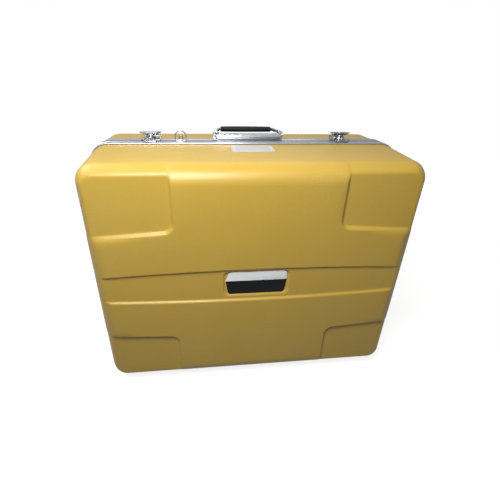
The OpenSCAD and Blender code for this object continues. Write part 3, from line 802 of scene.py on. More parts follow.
@dataclass
class Shell:
    """A formed plastic half: a tapered tray with round edges and sunk areas in its face."""

    sizes: CaseSizes
    half: Half
    depth: float
    panel_x: float = 153 * MM
    panel_z: float = 118 * MM
    panel_x_top: float = 148.5 * MM
    panel_z_top: float = 116 * MM
    panel_slope: float = 0.065
    panel_r: float = 15 * MM
    panel_sink: float = 6 * MM
    panel_ease: float = 5.6 * MM
    around: float = 1.3 * MM
    band_top: float = 35 * MM
    band_bottom: float = 32 * MM
    band_bow: float = 8 * MM
    band_sink: float = 4 * MM
    band_ease: float = 4.2 * MM
    pocket_half: tuple[float, float] = (62 * MM, 26 * MM)
    pocket_z: float = 4 * MM
    pocket_r: float = 10 * MM
    pocket_sink: float = 3 * MM
    pocket_ease: float = 2.4 * MM
    ledge_ease: float = 3.6 * MM
    soft: float = 2.2 * MM

    @property
    def edge_r(self) -> float:
        """Radius of the outer edges, which the rims' corners give."""
        return self.sizes.corner_r - self.sizes.proud

    @property
    def half_size(self) -> tuple[float, float]:
        """Half the width and height at the rim."""
        return self.sizes.half_w - self.sizes.proud, self.sizes.half_h - self.sizes.proud

    def cuts(self, half: float, fine: Sequence[tuple[float, float, float]]) -> list[float]:
        """Places of the mesh lines across one direction.

        Args:
            half: Half the size in that direction.
            fine: Stretches with closer lines, as (low, high, pitch).

        Returns:
            Sorted places, none closer than 0.8 mm.
        """
        r = self.edge_r
        lines = steps(-half + r, half - r, 11 * MM)
        for side in (-1, 1):
            lines += [side * (half - r + r * k / 9) for k in range(1, 9)]
        for low, high, pitch in fine:
            lines = [x for x in lines if not low - pitch / 2 < x < high + pitch / 2] + steps(low, high, pitch)
        lines.sort()
        kept = [lines[0]]
        for x in lines[1:]:
            if x - kept[-1] > 0.8 * MM:
                kept.append(x)
        return kept

    def into_panel(self, x: float, z: float) -> float:
        """How far a point is inside a sunk corner panel; negative outside."""
        start_x, start_z = (self.panel_x_top, self.panel_z_top) if z > 0 else (self.panel_x, self.panel_z)
        dx = abs(x) - start_x
        dz = abs(z) - start_z + self.panel_slope * (abs(x) - start_x)
        r = self.panel_r
        return r - math.hypot(r - dx, r - dz) if dx < r and dz < r else min(dx, dz)

    def into_band(self, x: float, z: float) -> float:
        """How far a point is inside the sunk band."""
        bow = self.band_bow * (x / self.sizes.half_w) ** 2
        return min(self.band_top - bow - z, z + self.band_bottom - bow)

    def into_pocket(self, x: float, z: float) -> float:
        """How far a point is inside the nameplate's pocket."""
        r = self.pocket_r
        dx = self.pocket_half[0] - abs(x)
        dz = self.pocket_half[1] - abs(z - self.pocket_z)
        return r - math.hypot(r - dx, r - dz) if dx < r and dz < r else min(dx, dz)

    def sunk(self, x: float, z: float) -> float:
        """Depth of the face below the raised areas at a point."""
        deep = self.panel_sink * smooth(self.into_panel(x, z) / self.panel_ease + 0.5)
        if self.half is Half.LID:
            deep = max(deep, self.band_sink * smooth(self.into_band(x, z) / self.band_ease + 0.5))
            ledge = smooth((self.pocket_z - self.pocket_half[1] + 12 * MM - z) / (12 * MM))
            ease = self.pocket_ease + self.ledge_ease * ledge
            deep += self.pocket_sink * smooth(self.into_pocket(x, z) / ease + 0.5)
        return deep

    def shaped(self, p: Vector) -> Vector:
        """Moves a point of the plain box onto the formed shell, about the parting plane's middle."""
        half_w, half_h = self.half_size
        r = self.edge_r
        core = Vector((
            min(max(p.x, r - half_w), half_w - r), max(p.y, r - self.depth),
            min(max(p.z, r - half_h), half_h - r)
        ))
        out = (p - core).normalized()
        q = core + out * r
        deep = self.sunk(q.x, q.z)
        if deep > 1e-5 and out.y < -0.02:
            q.y = -self.depth + soft_max(q.y + self.depth, deep, self.soft)
            around = self.around * smooth(self.into_panel(q.x, q.z) / self.panel_ease + 0.5)
            q -= Vector((out.x, 0, out.z)) * around * smooth(-out.y * 2.2)
        lean = self.sizes.lean(self.half, -q.y)
        return Vector((q.x * (1 - lean / half_w), q.y, q.z * (1 - lean / half_h)))

    def build(self, finish: Finish) -> Object:
        """Makes the shell."""
        half_w, half_h = self.half_size
        bm = bmesh.new()
        bmesh.ops.create_cube(bm, size=1)
        bmesh.ops.scale(bm, vec=(2 * half_w, self.depth - self.sizes.web, 2 * half_h), verts=bm.verts)
        bmesh.ops.translate(bm, vec=(0, -(self.depth + self.sizes.web) / 2, 0), verts=bm.verts)
        mouth = [f for f in bm.faces if f.normal.y > 0.9]
        bmesh.ops.delete(bm, geom=mouth, context="FACES_ONLY")
        wall_x = [(s * 159 * MM - 15 * MM, s * 159 * MM + 15 * MM, 1.9 * MM) for s in (-1, 1)]
        wall_z = [(s * 122 * MM - 14 * MM, s * 122 * MM + 14 * MM, 1.9 * MM) for s in (-1, 1)]
        if self.half is Half.LID:
            wall_x += [(s * 60 * MM - 9 * MM, s * 60 * MM + 9 * MM, 1.5 * MM) for s in (-1, 1)]
            wall_z += [(-38 * MM, -15 * MM, 1.15 * MM), (19 * MM, 40 * MM, 1.15 * MM)]
        planes = [((x, 0, 0), (1, 0, 0)) for x in self.cuts(half_w, wall_x)]
        planes += [((0, 0, z), (0, 0, 1)) for z in self.cuts(half_h, wall_z)]
        along = [-self.depth + self.edge_r * k / 9 for k in range(1, 10)]
        along += steps(-self.depth + self.edge_r, -self.sizes.web, 22 * MM)[1:-1]
        planes += [((0, y, 0), (0, 1, 0)) for y in along]
        for place, normal in planes:
            bmesh.ops.bisect_plane(
                bm, geom=bm.verts[:] + bm.edges[:] + bm.faces[:], dist=1e-6, plane_co=place, plane_no=normal
            )
        for v in bm.verts:
            v.co = self.shaped(v.co)
        if self.half is Half.BASE:
            bmesh.ops.mirror(bm, geom=bm.verts[:] + bm.edges[:] + bm.faces[:], axis="Y", merge_dist=-1)
            bmesh.ops.delete(bm, geom=[v for v in bm.verts if v.co.y < 0], context="VERTS")
        bmesh.ops.recalc_face_normals(bm, faces=bm.faces)
        face = max(bm.faces, key=lambda f: abs(f.calc_center_median().y))
        if face.normal.y * self.half.value < 0:
            bmesh.ops.reverse_faces(bm, faces=bm.faces)
        bmesh.ops.translate(bm, vec=(0, self.sizes.split_y, self.sizes.mid_z), verts=bm.verts)
        name, body = ("front_shell", "lid") if self.half is Half.LID else ("rear_shell", "base")
        piece = finished("formed_" + name, bm, [finish.shell, finish.inside], body, [name])
        skin = piece.modifiers.new("wall", "SOLIDIFY")
        skin.thickness = self.sizes.wall
        skin.offset = -1
        skin.material_offset = 1
        skin.material_offset_rim = 1
        return piece


# ---------------------------------------------------------------- rims and seal


@dataclass
class Rims:
    """The two aluminium extrusions round the openings, and the seal between them."""

    sizes: CaseSizes
    flute: float = 0.8 * MM
    seam: float = 2.4 * MM
    seam_in: float = 1.2 * MM
    bead: float = 0.9 * MM
    tongue_h: float = 3 * MM
    tongue_t: float = 2 * MM
    tongue_play: float = 0.8 * MM
    seal_t: float = 2 * MM

    def section(self, half: Half) -> list[tuple[float, float]]:
        """Outline of one rim, as (inset, distance from the parting plane)."""
        s = self.sizes
        w, t, k = s.rim_w, s.rim_t, 0.35 * MM
        inner = s.proud + s.wall / 2
        a, b = inner - self.tongue_t / 2, inner + self.tongue_t / 2
        outside = [
            (0.9 * MM, 0), (0.6 * MM, 0.7 * MM), (0.15 * MM, self.seam), (0, w * 0.16), (0.25 * MM, w * 0.19),
            (self.flute, w * 0.22), (self.flute, w * 0.70),
            (0.25 * MM, w * 0.74), (0, w * 0.78), (0, w - self.bead), (0.2 * MM, w - 0.35 * MM),
            (self.bead, w), (s.lip - 0.3 * MM, w), (s.lip, w - 0.3 * MM), (s.lip, s.web),
        ]
        inside = [
            (t - s.lip, s.web), (t - s.lip, w - 0.3 * MM), (t - s.lip + 0.3 * MM, w), (t - k, w), (t, w - k),
            (t, k), (t - k, 0)
        ]
        if half is Half.LID:
            h = -self.tongue_h
            joint = [(b, 0), (b, h + k), (b - k, h), (a + k, h), (a, h + k), (a, 0)]
        else:
            h, p = self.tongue_h + 0.5 * MM, self.tongue_play
            joint = [(b + p, 0), (b + p, h), (a - p, h), (a - p, 0)]
        return outside + inside + joint

    def build(self, finish: Finish) -> None:
        """Makes both rims and the seal."""
        s = self.sizes
        for half, name, body in ((Half.LID, "front_rim", "lid"), (Half.BASE, "rear_rim", "base")):
            outline = [(inset, half.value * depth) for inset, depth in self.section(half)]
            bm = swept_frame(outline, s.half_w, s.half_h, s.corner_r)
            for f in bm.faces:
                centre = f.calc_center_median()
                across = max(abs(centre.x) - s.half_w + s.corner_r, 0)
                up = max(abs(centre.z) - s.half_h + s.corner_r, 0)
                inset = s.corner_r - math.hypot(across, up)
                # Outer faces next to the parting plane take the near-black metal as painted shade of the
                # groove between the rims.
                f.material_index = 1 if inset < self.seam_in and abs(centre.y) < self.seam else 0
            bmesh.ops.translate(bm, vec=(0, s.split_y, s.mid_z), verts=bm.verts)
            piece = finished(
                "drawn_" + name, bm, [finish.rim, finish.painted_shade_metal], body, [name], flat=True
            )
            piece.data.shade_smooth()
            piece.data.set_sharp_from_angle(angle=math.radians(32))
        middle = s.proud + s.wall / 2
        half_t = self.tongue_t / 2 + self.tongue_play - 0.05 * MM
        bottom = self.tongue_h + 0.5 * MM
        outline = [
            (middle - half_t, bottom + self.seal_t), (middle - half_t, bottom + 0.5 * MM),
            (middle - half_t * 0.6, bottom),
            (middle + half_t * 0.6, bottom), (middle + half_t, bottom + 0.5 * MM),
            (middle + half_t, bottom + self.seal_t),
        ]
        bm = swept_frame(outline, s.half_w, s.half_h, s.corner_r)
        bmesh.ops.translate(bm, vec=(0, s.split_y, s.mid_z), verts=bm.verts)
        finished("moulded_seal", bm, [finish.seal], "base", ["rim_seal"])


# ---------------------------------------------------------------- carrying handle


@dataclass
class Handle:
    """The folding carrying handle: a pressed pan with ears, a bail and a moulded grip."""

    sizes: CaseSizes
    pan_l: float = 142 * MM
    pan_w: float = 24 * MM
    sheet: float = 2 * MM
    behind: float = 13 * MM
    pivot_z: float = 14 * MM
    pivot_d: float = 4 * MM
    eye_x: float = 63.1 * MM
    eye_l: float = 5 * MM
    eye_d: float = 9 * MM
    ear_x: float = 67.5 * MM
    ear_t: float = 3 * MM
    reach: float = 38 * MM
    rod_d: float = 6 * MM
    bail_t: float = 5 * MM
    grip_l: float = 104 * MM
    grip_w: float = 18 * MM
    grip_t: float = 10 * MM
    rivets_x: tuple[float, ...] = (-45 * MM, -16.5 * MM, 16.5 * MM, 45 * MM)
    pressing: tuple[tuple[float, float], ...] = (
        (2.2 * MM, 0), (1.9 * MM, 0.4 * MM), (1.5 * MM, 4.6 * MM), (1.2 * MM, 5.4 * MM), (0.5 * MM, 6 * MM),
        (0, 6.9 * MM),
        (0, 9.4 * MM), (0.25 * MM, 10.3 * MM), (0.9 * MM, 10.9 * MM), (1.7 * MM, 10.9 * MM),
        (2.3 * MM, 10.3 * MM),
        (2.6 * MM, 9.4 * MM), (3 * MM, 2.6 * MM), (3.6 * MM, 2 * MM),
    )

    @property
    def place(self) -> Vector:
        """The middle of the pan's underside."""
        return Vector((0, self.sizes.split_y + self.behind, self.sizes.top))

    def pan(self, finish: Finish) -> None:
        """Makes the pan with its rolled edge, and its two ears."""
        bm = bmesh.new()
        ring = bmesh.ops.create_circle(bm, segments=64, radius=1)["verts"]
        ends = [
            (v.co.copy().normalized(), math.copysign(1, v.co.x) if abs(v.co.x) > 1e-7 else 0) for v in ring
        ]
        edges = list({e for v in ring for e in v.link_edges})
        for level, (inset, z) in enumerate(self.pressing):
            if level:
                made = bmesh.ops.extrude_edge_only(bm, edges=edges)["geom"]
                ring = [g for g in made if isinstance(g, bmesh.types.BMVert)]
                edges = [g for g in made if isinstance(g, bmesh.types.BMEdge)]
            else:
                bmesh.ops.edgeloop_fill(bm, edges=edges)
            for v, (out, end) in zip(ring, ends):
                flat = out * (self.pan_w / 2 - inset)
                v.co = Vector((flat.x + end * (self.pan_l - self.pan_w) / 2, flat.y, z))
        bmesh.ops.edgeloop_fill(bm, edges=edges)
        bmesh.ops.recalc_face_normals(bm, faces=bm.faces)
        for side in (-1, 1):
            verts = tab(bm, self.eye_d, self.pivot_z - 0.5 * MM, self.ear_t)
            move(bm, verts, (side * self.ear_x, 0, 0.5 * MM))
        move(bm, bm.verts, self.place)
        finished("pressed_pan", bm, [finish.bright], "base", ["handle_base"], 0.5 * MM)

    def rivets(self, finish: Finish) -> None:
        """Makes the rivets that hold the pan."""
        bm = bmesh.new()
        for x in self.rivets_x:
            rivet(bm, self.place + Vector((x, 0, self.sheet)), "Z", 3 * MM, 1.3 * MM, 1.9 * MM)
        finished("pan_rivets", bm, [finish.zinc], "base", ["handle_rivets"])

    def pins(self, finish: Finish) -> None:
        """Makes the pivot pins, headed inside the eyes and riveted over outside the ears."""
        bm = bmesh.new()
        r, head = self.pivot_d / 2, (self.eye_d - 1 * MM) / 2
        inner, outer = 58.8 * MM, 69 * MM
        profile = [
            (0, inner), (head * 0.8, inner), (head, inner + 0.5 * MM), (head, inner + 1.3 * MM),
            (r, inner + 1.4 * MM),
            (r, outer), (r + 0.8 * MM, outer + 0.1 * MM), (r + 0.3 * MM, outer + 0.7 * MM),
            (0, outer + 1 * MM),
        ]
        for side in (-1, 1):
            verts = lathe(bm, profile, (0, 0, 0), "X", 28)
            if side < 0:
                bmesh.ops.rotate(bm, verts=verts, cent=(0, 0, 0), matrix=Matrix.Rotation(math.pi, 3, "Z"))
            move(bm, verts, self.place + Vector((0, 0, self.pivot_z)))
        # The pins take the near-black metal as painted shade of the holes they sit in.
        finished("pivot_pins", bm, [finish.painted_shade_metal], "base", ["handle_pins"])

    def bail(self, finish: Finish) -> None:
        """Makes the bail: two flat arms with eyes, and the rod through the grip."""
        bm = bmesh.new()
        inner, outer = self.eye_x - self.eye_l / 2, self.eye_x + self.eye_l / 2
        bend, back = self.grip_l / 2 + 0.5 * MM, self.reach + self.rod_d / 2
        outline = [
            (inner, 0), (outer, 0), (outer, 5.4 * MM), (bend + self.rod_d, back - self.rod_d),
            (bend + self.rod_d, back - 2 * MM), (bend + self.rod_d - 2 * MM, back), (bend, back),
            (bend, back - self.rod_d), (inner, 5.4 * MM),
        ]
        for side in (-1, 1):
            verts = [bm.verts.new((side * x, y, -self.bail_t / 2)) for x, y in outline]
            thicken(bm, bm.faces.new(verts), (0, 0, self.bail_t))
            r, k, half = self.eye_d / 2, 0.7 * MM, self.eye_l / 2
            ring = [
                (self.pivot_d / 2, -half), (r - k, -half), (r, k - half), (r, half - k), (r - k, half),
                (self.pivot_d / 2, half)
            ]
            lathe(bm, ring, (side * self.eye_x, 0, 0), "X", 32)
        half = self.grip_l / 2 + 2 * MM
        lathe(
            bm, [(0, -half), (self.rod_d / 2, -half), (self.rod_d / 2, half), (0, half)], (0, self.reach, 0),
            "X", 24
        )
        move(bm, bm.verts, self.place + Vector((0, 0, self.pivot_z)))
        finished("bent_bail", bm, [finish.bright], "handle", ["handle_bail"], 1.1 * MM)

    def grip(self, finish: Finish) -> None:
        """Makes the grip: a slightly swelled bar with a collar at each end."""
        half = self.grip_l / 2
        stations = [(-half, 0.80), (-half + 0.6 * MM, 0.93), (-half + 1.8 * MM, 1.0), (-half + 5 * MM, 1.0)]
        stations += [(-half + 5.8 * MM, 0.93), (-half + 7.2 * MM, 0.93), (-half + 8.2 * MM, 0.985)]
        stations += [
            (x, 0.985 + 0.045 * math.cos(x / half * math.pi / 2)) for x in steps(-40 * MM, 0, 8 * MM)
        ]
        stations += [(-x, scale) for x, scale in reversed(stations[:-1])]
        bm = bmesh.new()
        ring = bmesh.ops.create_circle(bm, segments=36, radius=1)["verts"]
        shape = []
        for v in ring:
            c, s = v.co.x, v.co.y
            shape.append(
                (
                    math.copysign(abs(c) ** 0.72, c) * self.grip_w / 2,
                    math.copysign(abs(s) ** 0.78, s) * self.grip_t / 2
                )
            )
        edges = list({e for v in ring for e in v.link_edges})
        for v, (y, z) in zip(ring, shape):
            v.co = Vector((stations[0][0], y * stations[0][1], z * stations[0][1]))
        bmesh.ops.edgeloop_fill(bm, edges=edges)
        last = stations[0]
        for x, scale in stations[1:]:
            made = bmesh.ops.extrude_edge_only(bm, edges=edges)["geom"]
            verts = [g for g in made if isinstance(g, bmesh.types.BMVert)]
            edges = [g for g in made if isinstance(g, bmesh.types.BMEdge)]
            ratio = scale / last[1]
            bmesh.ops.scale(bm, vec=(1, ratio, ratio), verts=verts)
            bmesh.ops.translate(bm, vec=(x - last[0], 0, 0), verts=verts)
            last = (x, scale)
        bmesh.ops.edgeloop_fill(bm, edges=edges)
        bmesh.ops.recalc_face_normals(bm, faces=bm.faces)
        move(bm, bm.verts, self.place + Vector((0, self.reach, self.pivot_z)))
        piece = finished("moulded_grip", bm, [finish.grip], "handle", ["handle_grip"])
        piece.data.set_sharp_from_angle(angle=math.radians(50))

    def build(self, finish: Finish) -> None:
        """Makes the whole handle."""
        self.pan(finish)
        self.rivets(finish)
        self.pins(finish)
        self.bail(finish)
        self.grip(finish)


# ---------------------------------------------------------------- turn latches


class Side(Enum):
    """Which latch; the value is its side of the middle."""

    LEFT = -1
    RIGHT = 1


@dataclass
class Latches:
    """The two turn latches on the rear rim, and their keepers on the front rim."""

    sizes: CaseSizes
    along: float = 190 * MM
    plate: tuple[float, float, float] = (36 * MM, 21 * MM, 2 * MM)
    boss_d: float = 20 * MM
    boss_h: float = 7 * MM
    arm_z: float = 7.5 * MM
    arm_t: float = 2.2 * MM
    jaw_in: float = 17.35 * MM
    jaw_t: float = 3.2 * MM
    jaw_w: float = 12 * MM
    jaw_z: float = 3 * MM
    hub_d: float = 15 * MM
    wing_z: float = 11.5 * MM
    wing: tuple[float, float, float] = (44 * MM, 20 * MM, 2.6 * MM)
    spindle_d: float = 8 * MM
    post_d: float = 5 * MM
    post_h: float = 7 * MM
    post_y: float = -3 * MM
    keeper: tuple[float, float, float] = (24 * MM, 13 * MM, 2 * MM)

    def place(self, side: Side) -> Vector:
        """The middle of a latch, on the rim."""
        return Vector((side.value * self.along, self.sizes.split_y + self.sizes.rim_w / 2, self.sizes.top))

    def bases(self, finish: Finish) -> None:
        """Makes the base plates with their turned bosses, and the rivets."""
        bm, heads = bmesh.new(), bmesh.new()
        length, width, thick = self.plate
        r, h = self.boss_d / 2, self.boss_h
        boss = [
            (self.spindle_d / 2, thick), (r, thick), (r, h - 3.4 * MM), (r - 1.1 * MM, h - 2.9 * MM),
            (r - 1.1 * MM, h - 1.9 * MM), (r - 0.4 * MM, h - 1.5 * MM), (r - 0.9 * MM, h - 0.2 * MM),
            (r - 1.4 * MM, h), (self.spindle_d / 2, h),
        ]
        for side in Side:
            plate = block(bm, (-length / 2, -width / 2, 0), (length / 2, width / 2, thick), 0.7 * MM)
            turned = lathe(bm, boss, (0, 0, 0), "Z", 40)
            move(bm, plate + turned, self.place(side))
            for end in (-1, 1):
                rivet(
                    heads, self.place(side) + Vector((end * 15 * MM, 0, thick)), "Z", 2.4 * MM, 0.7 * MM,
                    1.2 * MM
                )
        finished("latch_turrets", bm, [finish.nickel], "base", ["latch_bases"])
        finished("turret_rivets", heads, [finish.zinc], "base", ["latch_rivets"])

    def keepers(self, finish: Finish) -> None:
        """Makes the keeper plates, their posts and rivets."""
        bm, heads = bmesh.new(), bmesh.new()
        length, width, thick = self.keeper
        r, h = self.post_d / 2, self.post_h
        post = [
            (0, thick / 2), (r, thick / 2), (r, h - 1.2 * MM), (r - 0.5 * MM, h - 0.3 * MM),
            (r - 1.3 * MM, h), (0, h)
        ]
        for side in Side:
            place = Vector((side.value * self.along, self.sizes.split_y, self.sizes.top))
            plate = block(bm, (-length / 2, -width - 0.6 * MM, 0), (length / 2, -0.6 * MM, thick), 0.7 * MM)
            turned = lathe(bm, post, (0, self.post_y, 0), "Z", 28)
            move(bm, plate + turned, place)
            for end in (-1, 1):
                rivet(
                    heads, place + Vector((end * 8 * MM, -8.6 * MM, thick)), "Z", 2.4 * MM, 0.7 * MM, 1.2 * MM
                )
        finished("keeper_plates", bm, [finish.nickel], "lid", ["latch_keepers"])
        finished("plate_rivets", heads, [finish.zinc], "lid", ["keeper_rivets"])

    def turning(self, side: Side, finish: Finish) -> None:
        """Makes one latch's spindle, hook and wing."""
        name, place = side.name.lower(), self.place(side)
        inward = Matrix.Rotation(math.pi if side is Side.RIGHT else 0, 3, "Z")
        r, top = self.spindle_d / 2, self.wing_z + self.wing[2]
        bm = bmesh.new()
        lathe(
            bm,
            [
                (0, 0.3 * MM), (r, 0.3 * MM), (r, self.wing_z - 0.2 * MM), (r - 1 * MM, self.wing_z),
                (r - 1 * MM, top),
                (r, top), (r, top + 0.4 * MM), (r - 0.6 * MM, top + 0.9 * MM), (r * 0.35, top + 1.0 * MM),
                (0, top + 0.6 * MM),
            ],
            (0, 0, 0), "Z", 32,
        )
        move(bm, bm.verts, place)
        finished(
            name + "_turned_spindle", bm, [finish.zinc], name + "_latch",
            [name + "_spindle"]
        )
        bm = bmesh.new()
        reach, half = self.jaw_in + self.jaw_t, self.jaw_w / 2
        hub_top = self.wing_z - self.arm_z
        hub = [
            (r, 0), (self.hub_d / 2, 0), (self.hub_d / 2, self.arm_t),
            (self.hub_d / 2 - 0.9 * MM, self.arm_t + 0.5 * MM),
            (self.hub_d / 2 - 0.9 * MM, hub_top - 0.5 * MM), (self.hub_d / 2 - 1.4 * MM, hub_top),
            (r, hub_top),
        ]
        arm = block(bm, (r, -half, self.arm_z), (reach, half, self.arm_z + self.arm_t), 0.8 * MM)
        jaw = block(bm, (self.jaw_in, -half, self.jaw_z), (reach, half, self.arm_z + self.arm_t), 0.9 * MM)
        turned = lathe(bm, hub, (0, 0, self.arm_z), "Z", 36)
        move(bm, arm + jaw + turned, place, inward)
        # The hook takes the darker steel, partly as painted shade of the shadow under the wing.
        finished(name + "_bent_hook", bm, [finish.shade_darkened_steel], name + "_latch", [name + "_hook"])
        bm = bmesh.new()
        length, width, thick = self.wing
        foot_l, foot_w, drop = length * 0.62, width * 0.70, 1.2 * MM
        stadium(bm, foot_l, foot_w, thick + drop, -drop, 44)
        upper = [v for v in bm.verts if v.co.z > 0]
        bmesh.ops.scale(bm, vec=(length / foot_l, width / foot_w, 1), verts=upper)
        lid_face = max(bm.faces, key=lambda f: f.calc_center_median().z)
        bmesh.ops.bevel(
            bm, geom=list(lid_face.edges), offset=0.5 * MM, segments=3, profile=0.5, affect="EDGES",
            material=-1
        )
        lid_face = top_face(bm)
        sink_face(bm, lid_face, 1.0 * MM, 0.0)
        sink_face(bm, top_face(bm), 2.0 * MM, 0.0)
        middle = top_face(bm)
        bmesh.ops.translate(bm, vec=(0, 0, -0.9 * MM), verts=list(middle.verts))
        move(bm, bm.verts, place + Vector((0, 0, self.wing_z)))
        piece = finished(
            name + "_dished_wing", bm, [finish.nickel], name + "_latch", [name + "_wing"]
        )
        piece.data.set_sharp_from_angle(angle=math.radians(40))

    def build(self, finish: Finish) -> None:
        """Makes both latches."""
        self.bases(finish)
        self.keepers(finish)
        for side in Side:
            self.turning(side, finish)


@dataclass
class LockLoop:
    """The wire loop on the lid, its staple, and the eye on the base that it tilts back over."""

    sizes: CaseSizes
    along: float = -132 * MM
    ahead: float = 10 * MM
    axis_z: float = 2.8 * MM
    width: float = 22 * MM
    height: float = 19.5 * MM
    wire_d: float = 2.2 * MM
    play: float = 0.15 * MM
    bend_r: float = 3 * MM
    staple_l: float = 9 * MM
    foot: tuple[float, float, float] = (17 * MM, 8 * MM, 1.2 * MM)
    eye: tuple[float, float, float] = (9 * MM, 10 * MM, 2 * MM)
    eye_behind: float = 1.5 * MM
    eye_hole: float = 5 * MM

    def loop(self, finish: Finish) -> None:
        """Makes the bent wire."""
        wire = self.wire_d / 2
        section = [
            (wire - wire * math.cos(a), wire * math.sin(a)) for a in steps(0, math.tau, math.tau / 14)[:-1]
        ]
        bm = swept_frame(section, self.width / 2, self.height / 2, self.bend_r, 10, self.width / 2)
        place = Vector(
            (
                self.along, self.sizes.split_y - self.ahead,
                self.sizes.top + self.axis_z + self.height / 2 - wire
            )
        )
        move(bm, bm.verts, place)
        finished("wire_loop", bm, [finish.nickel], "loop", ["lock_loop"])

    def staple(self, finish: Finish) -> None:
        """Makes the staple: a foot and a folded barrel."""
        bm = bmesh.new()
        length, width, thick = self.foot
        wire = self.wire_d / 2
        r, k, half = wire + 1.5 * MM, 0.4 * MM, self.staple_l / 2
        bore = wire + self.play
        block(bm, (-length / 2, -width / 2, 0), (length / 2, width / 2, thick), k)
        lathe(
            bm, [(bore, -half), (r - k, -half), (r, k - half), (r, half - k), (r - k, half), (bore, half)],
            (0, 0, self.axis_z), "X", 28
        )
        block(bm, (-half, -r, 0.3 * MM), (half, -bore, self.axis_z), 0.3 * MM)
        block(bm, (-half, bore, 0.3 * MM), (half, r, self.axis_z), 0.3 * MM)
        move(bm, bm.verts, (self.along, self.sizes.split_y - self.ahead, self.sizes.top))
        finished("loop_barrel", bm, [finish.zinc], "lid", ["loop_staple"])

    def base_eye(self, finish: Finish) -> None:
        """Makes the folded eye: an upright ring on a stem, and its foot."""
        bm = bmesh.new()
        width, height, thick = self.eye
        r, hole, k = width / 2, self.eye_hole / 2, 0.35 * MM
        centre = height - r
        ring = [(hole, 0), (r - k, 0), (r, k), (r, thick - k), (r - k, thick), (hole, thick)]
        lathe(bm, ring, (0, 0, centre), "Y", 36)
        block(bm, (-r + 0.05 * MM, 0, 0.2 * MM), (r - 0.05 * MM, thick, centre - hole), 0.3 * MM)
        block(bm, (-8 * MM, 0, 0), (8 * MM, 9 * MM, 1.2 * MM), 0.35 * MM)
        move(bm, bm.verts, (self.along, self.sizes.split_y + self.eye_behind, self.sizes.top))
        finished("folded_eye", bm, [finish.shade_darkened_steel], "base", ["lock_eye"])

    def build(self, finish: Finish) -> None:
        """Makes the loop, its staple and the eye."""
        self.loop(finish)
        self.staple(finish)
        self.base_eye(finish)


# ---------------------------------------------------------------- hinges, feet and rim rivets


@dataclass
class Hinges:
    """Three knuckled hinges under the rims."""

    sizes: CaseSizes
    pitch: float = 200 * MM
    count: int = 3
    length: float = 60 * MM
    leaf_w: float = 17 * MM
    leaf_t: float = 1.8 * MM
    knuckle_d: float = 7.6 * MM
    pin_d: float = 3.2 * MM
    knuckles: int = 5
    gap: float = 0.4 * MM
    axis_drop: float = 4.4 * MM

    def leaf(self, bm: bmesh.types.BMesh, half: Half, middle: float) -> None:
        """Makes one leaf about a hinge's middle, with its own knuckles."""
        bottom = self.sizes.mid_z - self.sizes.half_h
        top, axis, y = bottom, bottom - self.axis_drop, self.sizes.split_y
        r, k = self.knuckle_d / 2, 0.4 * MM
        reach = r + self.gap
        ends = sorted((y + half.value * reach, y + half.value * self.leaf_w))
        block(
            bm, (middle - self.length / 2, ends[0], top - self.leaf_t),
            (middle + self.length / 2, ends[1], top), 0.35 * MM
        )
        pitch = self.length / self.knuckles
        for i in range(1 if half is Half.LID else 0, self.knuckles, 2):
            low = middle - self.length / 2 + i * pitch + self.gap / 2
            high = low + pitch - self.gap
            ends = sorted((y + half.value * self.gap, y + half.value * (reach + 1 * MM)))
            block(bm, (low, ends[0], top - self.leaf_t), (high, ends[1], top), 0.2 * MM)
            ring = [
                (self.pin_d / 2, low), (r - k, low), (r, low + k), (r, high - k), (r - k, high),
                (self.pin_d / 2, high)
            ]
            lathe(bm, ring, (0, y, axis), "X", 28)

    def build(self, finish: Finish) -> None:
        """Makes the leaves, pins and rivets."""
        bottom = self.sizes.mid_z - self.sizes.half_h
        middles = [(i - (self.count - 1) / 2) * self.pitch for i in range(self.count)]
        for half, body in ((Half.LID, "lid"), (Half.BASE, "base")):
            leaves, heads = bmesh.new(), bmesh.new()
            for middle in middles:
                self.leaf(leaves, half, middle)
                for end in (-1, 1):
                    y = self.sizes.split_y + half.value * 11.2 * MM
                    rivet(
                        heads, Vector((middle + end * 20 * MM, y, bottom - self.leaf_t)), "-Z", 3 * MM,
                        1.2 * MM, 1.8 * MM
                    )
            finished(
                body + "_leaves", leaves, [finish.zinc], body, [body + "_hinge_leaves"]
            )
            finished(
                body + "_leaf_rivets", heads, [finish.zinc], body, [body + "_hinge_rivets"]
            )
        bm = bmesh.new()
        r = self.pin_d / 2
        for middle in middles:
            end = self.length / 2
            profile = [
                (0, -end - 0.8 * MM), (r * 0.8, -end - 0.5 * MM), (r, -end), (r, end),
                (r * 0.8, end + 0.5 * MM), (0, end + 0.8 * MM)
            ]
            lathe(bm, profile, (middle, self.sizes.split_y, bottom - self.axis_drop), "X", 20)
        finished("headed_hinge_pins", bm, [finish.bright], "base", ["hinge_pins"])


